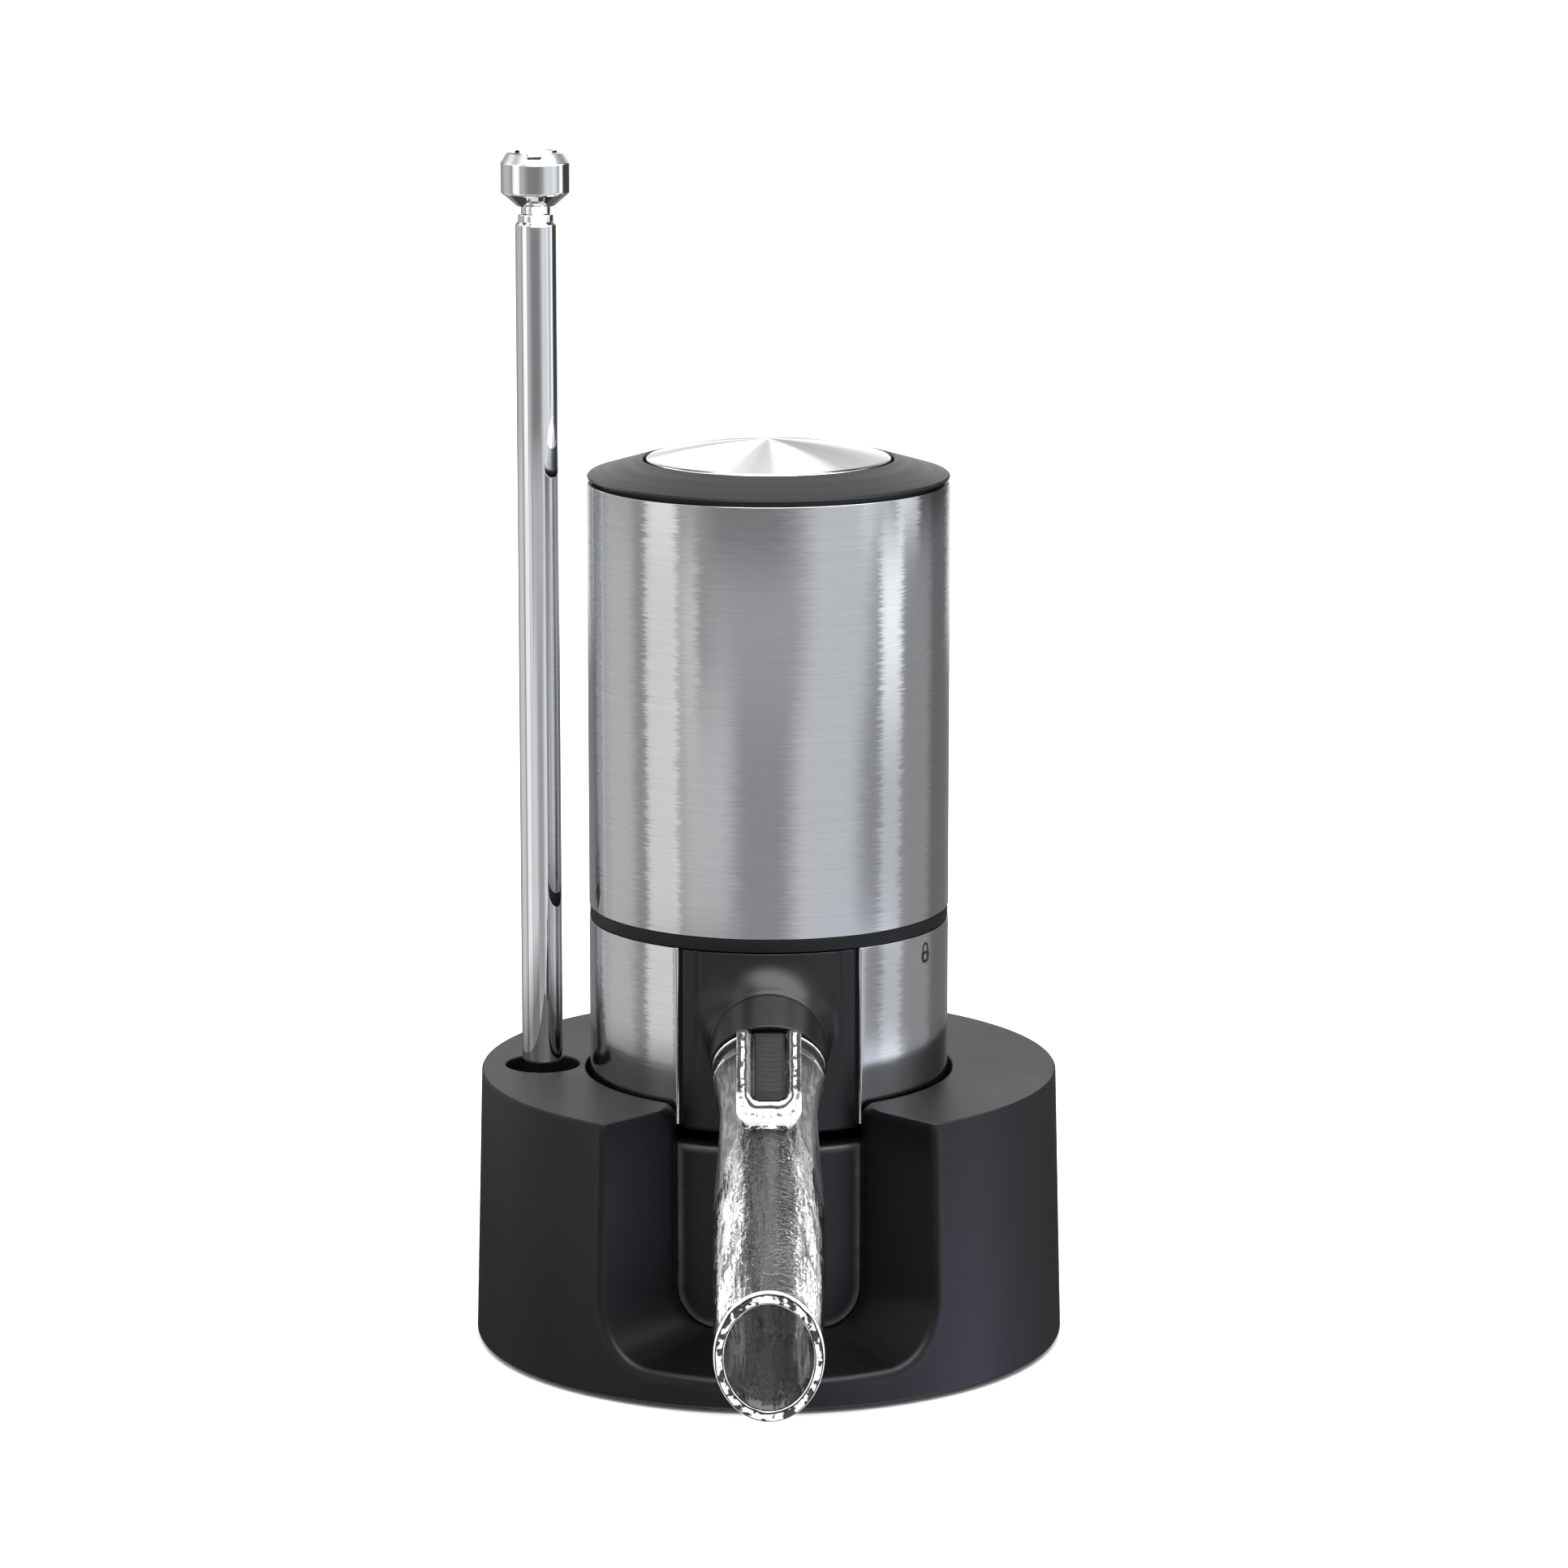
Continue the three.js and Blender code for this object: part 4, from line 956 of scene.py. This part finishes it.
# on those collar bands lip = 1: a full painted highlight line
painted_bright_bands = (turn > 0.5) & (ss_face < 6.0) & (far_out < 0.0)
lip[:n_out][painted_bright_bands], rail[:n_out][painted_bright_bands] = 1.0, 0.0
mid = np.zeros(P.shape[:2])
mid[:n_out] = step(ss_face, 19.0, 22.0) * (1 - step(side_x, 4.6, 6.2)) * (np.abs(np.concatenate([P1, P2])) < 1.2)
lip[n_out - 1:n_out + n_rim] = np.interp(np.arange(n_rim + 1), [0, 1, 2, 3, 4, 5, 6, 7], [0.0, 0.07, 0.19, 0.29, 0.46, 0.62, 0.80, 0.93])[:, None]
lip[n_out + n_rim] = 1.0
rail[n_out - 1:] = 0.0
for label, value in (("painted_show_through", painted_show_through), ("lip", lip), ("rail", rail), ("mid", mid)):
    spout.data.attributes.new(label, "FLOAT", "POINT").data.foreach_set("value", value.ravel().tolist())
place(spout, "spout", "clear", "spout_tube")

# ---- ribbed latch in the spout's raised frame
ss = spread((0.4, 12.4, 0.11), (12.4, 15.0, 0.09))
half = 2.58 - 1.5 + np.sqrt(np.maximum(1.5 ** 2 - np.maximum(ss - 13.5, 0) ** 2, 0.0004))
cc = np.sin(np.linspace(-1, 1, 25) * math.pi / 2)
SS, CC = np.meshgrid(ss, cc, indexing="ij")
XX = CC * half[:, None]
arc = SS + 0.10 * XX ** 2
ribs = 0.5 + 0.5 * np.cos(2 * math.pi * (arc - 1.1) / 1.05)
ribs = ribs ** 1.6 * step(SS, 1.0, 1.7) * step(-SS, -13.6, -12.6) * step(-np.abs(XX), -2.3, -1.8)
edge_in = np.minimum(half[:, None] - np.abs(XX), np.minimum(SS - 0.4, 15.0 - SS) + 0.0)
TT = 8.62 - 0.05 * XX ** 2 / 2.6 + 0.08 * ribs - 0.28 * (1 - step(edge_in, 0.0, 0.3)) + 0.1


def at_spout(x, s, u):
    return SO[None, :] + np.stack([x.ravel(), np.zeros(x.size), np.zeros(x.size)], 1) + np.multiply.outer(s.ravel(), SA) + np.multiply.outer(u.ravel(), SU)


top = at_spout(XX, SS, TT)
low = at_spout(XX, SS, np.full(XX.shape, 7.5))
n, m = XX.shape
faces = grid_faces(n, m)
faces += [f[::-1] for f in grid_faces(n, m, start=n * m)]
rim = [i * m for i in range(n)] + [(n - 1) * m + j for j in range(1, m)] + [i * m + m - 1 for i in range(n - 2, -1, -1)] + list(range(m - 2, 0, -1))
faces += [(rim[i], rim[(i + 1) % len(rim)], rim[(i + 1) % len(rim)] + n * m, rim[i] + n * m) for i in range(len(rim))]
place(build("latch_tongue", np.concatenate([top, low]), faces, "latch", smooth=55), "latch", "latch", "spout_latch")
# its root reaches into the boss
x, s, u = np.meshgrid([-2.4, 2.4], [-4.1, 0.8], [7.5, 8.12], indexing="ij")
root = at_spout(x, s, u)
root_ob = build("latch_root", root, [(0, 1, 3, 2), (4, 6, 7, 5), (0, 4, 5, 1), (2, 3, 7, 6), (0, 2, 6, 4), (1, 5, 7, 3)], "latch", smooth=30)
mod = root_ob.modifiers.new("ease", "BEVEL")
mod.width, mod.segments, mod.limit_method = 0.00018, 3, "NONE"
place(root_ob, "latch", "latch", "spout_latch")


def torus(name, s0, R, r, key, n=72, m=14):
    a, b = np.meshgrid(np.arange(n) * 2 * math.pi / n, np.arange(m) * 2 * math.pi / m, indexing="ij")
    q = R + r * np.cos(b)
    P = spout_point(s0 + r * np.sin(b), a, q)
    return build(name, P, grid_faces(n, m, True, True), key, smooth=80)


place(torus("spout_oring_detail", -5.5, 7.12, 0.36, "rubber"), "spout", "rubber", "spout_oring")

# ---------------------------------------------------------------- seal between the units
place(lathe("seal_ring_detail", [
    (26.3, 74.35, .2), (28.3, 74.35, .2), (28.3, 75.0, .2), (27.9, 75.35, .15), (26.7, 75.35, .15), (26.3, 75.0, .2),
], "rubber", 144), "lock_seal", "rubber", "seal_ring")

# ---------------------------------------------------------------- head
place(lathe("upper_sleeve_detail", [
    (29.2, 74.3, .2), (30.0, 74.3, .08), (30.0, 145.2, .08), (29.2, 145.2, .2),
], "steel", 200, steps=6), "head", "steel", "upper_sleeve")
place(lathe("head_lock_ring_detail", [
    (26.4, 75.65, .3), (28.85, 75.65, .3), (28.85, 83.0, .3), (26.4, 83.0, .3),
], "black", 144), "head", "black", "head_lock_ring")
for i, a in enumerate((80, 200, 320)):
    place(sector(f"head_lip_{i + 1}", [
        (24.4, 75.8, .3), (26.7, 75.8, .2), (26.7, 77.3, .2), (24.4, 77.3, .3),
    ], a - 12, a + 12, 14, "black", bevel=0.35), "head", "black", "head_lock_ring")
place(lathe("cap_ring_detail", [
    (29.85, 145.85, .12), (30.0, 146.12, .12), (29.72, 146.42, .25), (21.0, 148.98, .18), (20.75, 148.75, .1),
    (20.75, 141.5), (22.0, 141.5), (22.0, 146.5), (27.2, 144.9), (27.2, 139.5), (28.8, 139.5), (28.8, 145.85),
], "satin", 200), "head", "satin", "cap_ring")

place(lathe("button_disc_detail", [
    (0, 151.4), (19.3, 148.45), (20.22, 148.37, .1), (20.22, 148.95, .2), (19.8, 149.22, .2),
] + [(q, 152.16 - 0.05 * q - 0.005 * q * q) for q in (18.4, 17.0, 15.5, 14.0, 12.5, 11.0, 9.5, 8.0, 6.5, 5.0, 3.6, 2.4, 1.4, 0.7)] + [
    (0, 152.16),
], "spun", 220, closed=False, smooth=24), "button", "spun", "button_disc")
place(lathe("button_carrier_detail", [
    (0, 145.4), (3.0, 145.4, .2), (3.0, 148.7), (18.7, 146.3), (18.7, 142.6, .2), (20.15, 142.6, .3), (20.15, 147.9, .2),
    (19.3, 148.1), (0, 151.15),
], "black", 128, closed=False), "button", "black", "button_carrier")


# ---- return spring, carried by the button
turns, coil = 4.5, []
for t in np.linspace(0, 1, 300):
    a = t * turns * 2 * math.pi
    lift = t + 0.055 * math.sin(4 * math.pi * t) / 1.3
    c = np.array([6.0 * math.cos(a), 6.0 * math.sin(a), 139.12 + 8.44 * lift])
    out, up = np.array([math.cos(a), math.sin(a), 0.0]), np.array([0.0, 0.0, 1.0])
    end = math.sqrt(max(0.0, 1 - max(0.0, 1 - min(t, 1 - t) / 0.006) ** 2)) * 0.3 + 0.02
    coil += [c + end * (out * math.cos(b) + up * math.sin(b)) for b in np.arange(12) * math.pi / 6]
faces = grid_faces(300, 12, wrap_v=True) + [tuple(range(12)), tuple(range(299 * 12, 300 * 12))[::-1]]
spring = place(build("return_spring_detail", coil, faces, "zinc", smooth=50), "button", "zinc", "return_spring")
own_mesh(spring)


# ---- printed marks: thin inlays that follow the sleeve
def inlay(name, outer, inner, az, z, key, body, closed=True):
    """A flat band between two outlines in (across, up) millimetres, laid on the cylinder at az degrees from the front."""
    def wrap(pts, r):
        a = rad(az) + np.array([p[0] for p in pts]) / 30.0
        return [(r * math.sin(t), -r * math.cos(t), z + p[1]) for t, p in zip(a, pts)]
    n = len(outer)
    verts = wrap(outer, 30.02) + wrap(inner, 30.02) + wrap(outer, 29.9) + wrap(inner, 29.9)
    faces = []
    for i in range(n if closed else n - 1):
        j = (i + 1) % n
        faces += [(i, j, n + j, n + i), (2 * n + i, 3 * n + i, 3 * n + j, 2 * n + j),
                  (i, 2 * n + i, 2 * n + j, j), (n + i, n + j, 3 * n + j, 3 * n + i)]
    if not closed:
        for i in (0, n - 1):
            faces.append((i, n + i, 3 * n + i, 2 * n + i))
    return place(build(name, verts, faces, key, smooth=30), body, key)


def loop(pts, n=48, **kw):
    """An outline with rounded corners, resampled to n even points."""
    p = np.array(rounded(pts, True, 6))
    p = np.concatenate([p, p[:1]])
    d = np.concatenate([[0], np.cumsum(np.linalg.norm(np.diff(p, axis=0), axis=1))])
    t = np.linspace(0, d[-1], n, endpoint=False)
    return np.stack([np.interp(t, d, p[:, 0]), np.interp(t, d, p[:, 1])], 1)


pointer = loop([(-1.05, 3.2, .3), (1.05, 3.2, .3), (0.0, 0.0, .25)], 42)
middle = pointer.mean(0)
for side, az in (("left", -70.3), ("right", 109.7)):
    inlay(f"index_mark_{side}", pointer, middle + (pointer - middle) * 0.02, az, 74.8, "print", "head")

turn = np.linspace(0, 2 * math.pi, 48, endpoint=False)
keyhole = np.stack([0.52 * np.cos(turn), 0.95 + 0.52 * np.sin(turn)], 1)
shield = np.stack([
    np.interp(turn, [0, 1.0, 2.14, math.pi, 4.0, 4.712, 5.42, 2 * math.pi], [1.25, 1.12, -1.12, -1.25, -0.95, 0.0, 0.95, 1.25]),
    np.interp(turn, [0, 1.0, 2.14, math.pi, 4.0, 4.712, 5.42, 2 * math.pi], [1.0, 1.9, 1.9, 1.0, 0.15, -0.12, 0.15, 1.0]),
], 1)


def shackle(lift):
    a = np.linspace(0, math.pi, 22)
    big = np.stack([0.92 * np.cos(a), 2.45 + lift + 0.95 * np.sin(a)], 1)
    small = np.stack([0.52 * np.cos(a), 2.45 + lift + 0.55 * np.sin(a)], 1)
    big = np.concatenate([[(0.92, 1.85)], big, [(-0.92, 1.85 + lift * 1.4)]])
    small = np.concatenate([[(0.52, 1.85)], small, [(-0.52, 1.85 + lift * 1.4)]])
    return big, small


for side, az, lift in (("closed", 59.4, 0.0), ("open", 109.4, 0.35)):
    inlay(f"lock_{side}_body", shield, keyhole, az, 67.15, "print", "lower_unit")
    big, small = shackle(lift)
    inlay(f"lock_{side}_bow", big, small, az, 67.15, "print", "lower_unit", closed=False)

# ---------------------------------------------------------------- suction tube
AT = HOLE[:2]
place(lathe("tube_connector_detail", [
    (3.3, 6.3, .3), (5.3, 6.3, .4), (5.6, 6.8, .3), (5.6, 24.0, .5), (3.75, 24.0, .3), (3.75, 17.6), (3.3, 17.6),
], "rubber", 64, AT), "tube_outer", "rubber", "tube_connector")
place(lathe("tube_outer_detail", [
    (3.12, 18.0, .1), (3.42, 18.0, .1), (3.42, 187.2), (3.40, 187.45, .2), (3.05, 188.0, .12), (2.99, 187.9),
    (2.99, 187.2), (3.12, 186.8),
], "chrome", 96, AT), "tube_outer", "chrome", "tube_outer")
place(lathe("tube_middle_detail", [
    (2.68, 26.0, .1), (2.95, 26.0, .1), (2.95, 188.9), (2.92, 189.1, .15), (2.56, 189.3, .1), (2.53, 189.2),
    (2.53, 188.6), (2.68, 188.2),
], "chrome", 96, AT), "tube_middle", "chrome", "tube_middle")
place(lathe("tube_inner_detail", [
    (1.9, 34.0, .15), (2.45, 34.0, .15), (2.45, 193.4, .1), (1.9, 193.4, .1),
], "chrome", 96, AT), "tube_inner", "chrome", "tube_inner")

TIP = rounded([
    (2.75, 190.45), (3.2, 190.45, .3), (5.76, 192.6, .8), (5.76, 197.55, .3), (4.72, 199.14, .25), (4.4, 199.38, .2),
    (3.95, 199.22, .2), (3.62, 195.0, .3), (2.75, 194.4),
], True, 5)


def tip(x, y, z):
    dx, dy = x - AT[0], y - AT[1]
    r = np.sqrt(dx * dx + dy * dy)
    f = polygon(r, z, TIP)
    for a in (-90, 30, 150):
        c, s = math.cos(rad(a)), math.sin(rad(a))
        along, across = dx * c + dy * s, -dx * s + dy * c
        gap = np.maximum(np.maximum(np.abs(across) - 1.1, 198.55 - z), 2.5 - along)
        f = both(f, -gap, 0.1)
    return f


# the inlet and the slots: where the tip gets painted shade
def tip_hollow_shade(x, y, z):
    dx, dy = x - AT[0], y - AT[1]
    inside = (np.sqrt(dx * dx + dy * dy) < 3.86) & (z < 199.15) & (z > 193.0)
    for a in (-90, 30, 150):
        c, s = math.cos(rad(a)), math.sin(rad(a))
        along, across = dx * c + dy * s, -dx * s + dy * c
        inside |= (np.abs(across) < 1.2) & (along > 2.5) & (z > 198.42) & (z < 199.24)
    return inside.astype(float)


place(implicit("suction_tip_detail", tip, round_grid(
    spread((2.5, 6.0, 0.17)), spread((0, 360, 2.5))[:-1], spread((190.2, 193.4, 0.2), (193.4, 196.2, 0.4), (196.2, 199.7, 0.14)), AT,
), "tip", wrap=True, relax=1, deep=tip_hollow_shade), "tube_inner", "tip", "suction_tip")

# ---------------------------------------------------------------- carried-over CAD nodes
KEPT = {
    "stand_screw_": "zinc", "wine_gooseneck": "grey", "air_valve": "rubber", "air_duct": "grey", "aeration_insert": "grey",
    "head_floor": "black", "head_chassis": "grey", "battery_cell_": "cell", "contact_": "zinc", "pump_cover": "grey",
    "nozzle_oring": "rubber", "pump_housing": "grey", "pump_diaphragm": "rubber", "wobble_plate": "grey",
    "motor_can": "zinc", "motor_end_cap": "grey", "magnet_": "black", "switch_board": "board", "push_switch": "black",
    "switch_plunger": "grey", "return_spring": "zinc", "motor_shaft": "zinc", "motor_armature": "zinc",
    "commutator": "brass", "eccentric_hub": "grey",
}
for node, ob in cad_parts.items():
    for start, key in KEPT.items():
        if node.startswith(start):
            ob.data.materials.clear()
            ob.data.materials.append(M[key])

# ---------------------------------------------------------------- floor and light
def staged(name, verts, faces, material):
    me = bpy.data.meshes.new(name)
    me.from_pydata(verts, [], faces)
    me.materials.append(material)
    ob = bpy.data.objects.new(name, me)
    scene.collection.objects.link(ob)
    return ob


t = Tree("floor")
cloud = t.noise(t.coords(), 3.0, 2.0)
t.color(t.tones(cloud, (0.86, 0.86, 0.86), (0.88, 0.88, 0.88)))
t.set(Roughness=0.9, Specular_IOR_Level=0.1)
floor = staged("floor", [(-9, -9, 0), (9, -9, 0), (9, 9, 0), (-9, 9, 0)], [(0, 1, 2, 3)], t.m)
floor.visible_glossy = False

# The room: bright overhead, quieter towards the horizon.
world = bpy.data.worlds.new("studio")
scene.world = world
world.use_nodes = True
nt = world.node_tree
where = nt.nodes.new("ShaderNodeTexCoord")
split = nt.nodes.new("ShaderNodeSeparateXYZ")
nt.links.new(where.outputs["Generated"], split.inputs[0])
lift = nt.nodes.new("ShaderNodeMapRange")
lift.interpolation_type = "SMOOTHSTEP"
lift.inputs["From Min"].default_value, lift.inputs["From Max"].default_value = 0.25, 0.75
lift.inputs["To Min"].default_value, lift.inputs["To Max"].default_value = 0.95, 1.5
nt.links.new(split.outputs["Z"], lift.inputs["Value"])
nt.links.new(lift.outputs["Result"], nt.nodes["Background"].inputs["Strength"])
nt.nodes["Background"].inputs["Color"].default_value = (1.0, 1.0, 1.0, 1)

# A tall ring of reflector panels close round the object, seen only in reflections and through clear parts.
# Angles run from the front (-Y) towards +X.
TENT_R = 0.25


def band(d, centre, width, soft):
    off = abs((d - centre + 180) % 360 - 180)
    return 1 - float(step(off, width - soft, width + soft))


def rise(z, a, b):
    return float(step(z, a, b))


def ring_light(d, z):
    low = 1 - rise(z, -0.02, 0.0)      # the part that only the stand's wall reflects
    high = rise(z, 0.045, 0.10)
    tall = rise(z, 0.116, 0.126)       # above what the steel sees: for the suction tube
    v = 0.37
    v += 0.27 * band(d, -112, 22, 6) * (1 - 0.45 * tall)
    v += 0.56 * band(d, -68, 11.5, 2) + 0.20 * tall * band(d, -67, 8, 3)
    v += (0.32 + 0.12 * high) * band(d, -38, 17, 8) * (1 - 0.94 * high * rise(d, -46, -40)) * (1 - 0.7 * tall)
    v += 0.11 * high * (1 - tall) * band(d, -6, 30, 8)
    v += 0.38 * band(d, 35 + 9 * high, 21, 9)
    v += (0.34 * band(d, 80, 8, 3) + 0.75 * band(d, 80, 8.5, 2.5) * high) * (1 - tall)
    v += tall * (0.30 * band(d, 68, 10, 5) + 0.75 * band(d, 94, 9, 3))
    v -= 0.14 * band(d, -12, 22, 8) * tall
    # beyond 120 degrees the steel's edges look into the dark
    v -= 0.13 * band(d, 180, 62, 6) + 0.05 * band(d, 135, 16, 5)
    if d < -20:
        v *= 1 - 0.70 * low
    v -= 0.12 * low * band(d, 180, 50, 12)
    v += 0.98 * low * band(d, 74, 18, 9)
    v = max(v, 0.04)
    # behind: brighter above the level that the steel can see, for the deck and the button
    back = band(d, 180, 30, 10)
    v += back * (0.66 * rise(z, 0.066, 0.092) + 0.20 * rise(z, 0.12, 0.15))
    # the tube's right edge looks past the body into the dark
    v -= tall * (1 - rise(z, 0.20, 0.225)) * 0.5 * band(d, 131, 26, 3)
    v = max(v, 0.06)
    # white round the tip's chamfer, dark again above it: keeps the sides of the boss dark
    v += rise(z, 0.21, 0.235) * (1 - rise(z, 0.35, 0.38)) * 0.8 * (band(d, 88, 26, 8) + band(d, -80, 36, 8))
    v *= 1 - 0.85 * rise(z, 0.36, 0.39) * (band(d, 122, 36, 8) + band(d, -122, 36, 8))
    # above the front, stronger to the right: draws the upper edges
    v += rise(z, 0.185, 0.215) * (5.4 * band(d, 2, 34, 14) + 4.4 * band(d, 58, 22, 10))
    return v


def ring_tint(d, z):
    """Slightly cool to the right and behind."""
    right, front = band(d, 62, 40, 22), band(d, -10, 24, 12)
    low, rear = 1 - rise(z, -0.03, -0.01), band(d, 165, 50, 20) * rise(z, 0.066, 0.092) * (1 - rise(z, 0.12, 0.15))
    r = 1 - 0.035 * right - 0.02 * front - 0.05 * rear
    b = 1 + 0.035 * right + 0.02 * front + 0.03 * rear + 0.36 * low * right
    return r, 1.0, b


az = np.radians(np.arange(-180, 180, 1.0))
heights = np.concatenate([[-0.35, -0.1], np.arange(-0.07, 0.601, 0.01)])
verts, tones = [], []
for z in heights:
    for a in az:
        verts.append((TENT_R * math.sin(a), -TENT_R * math.cos(a), float(z)))
        level = ring_light(math.degrees(a), float(z))
        tones.append([level * c for c in ring_tint(math.degrees(a), float(z))] + [1.0])
t = Tree("reflector")
t.t.nodes.remove(t.bsdf)
attr = t.node("ShaderNodeAttribute", attribute_name="level")
glow = t.node("ShaderNodeEmission")
t.link(attr.outputs["Color"], glow.inputs["Color"])
t.link(glow.outputs["Emission"], t.t.nodes["Material Output"].inputs["Surface"])
ring = staged("reflector_ring", verts, grid_faces(len(heights), len(az), wrap_v=True), t.m)
level = ring.data.color_attributes.new("level", "FLOAT_COLOR", "POINT")
level.data.foreach_set("color", [c for tone in tones for c in tone])
ring.visible_camera = ring.visible_diffuse = ring.visible_shadow = ring.visible_volume_scatter = False

def lamp(name, at, size, radiance, target):
    light = bpy.data.lights.new(name, "AREA")
    light.shape, light.size, light.size_y = "RECTANGLE", size[0], size[1]
    light.energy = radiance * math.pi * size[0] * size[1]
    ob = bpy.data.objects.new(name, light)
    ob.location = at
    ob.rotation_euler = (Vector(target) - Vector(at)).to_track_quat("-Z", "Y").to_euler()
    ob.visible_camera = False
    scene.collection.objects.link(ob)
    return ob


overhead = lamp("overhead", (0.0, 0.1, 2.2), (3.0, 3.0), 2.8, (0, 0, 0))
overhead.visible_glossy = overhead.visible_transmission = False

# Strips that light only the clear spout, from both sides and from above.
only = bpy.data.collections.new("clear_parts")
only.objects.link(spout)
for name, at, size, radiance in (
    ("strip_left_rear", (-0.112, 0.072, 0.085), (0.030, 0.15), 6.0),
    ("strip_left_front", (-0.118, 0.026, 0.085), (0.026, 0.15), 6.0),
    ("strip_right_rear", (0.112, 0.072, 0.085), (0.030, 0.15), 6.0),
    ("strip_right_front", (0.118, 0.026, 0.085), (0.026, 0.15), 6.0),
    ("strip_top", (0.0, -0.045, 0.33), (0.06, 0.16), 1.4),
):
    ob = lamp(name, at, size, radiance, (0.0, -0.055, 0.035))
    ob.light_linking.receiver_collection = only
    ob.light_linking.blocker_collection = only
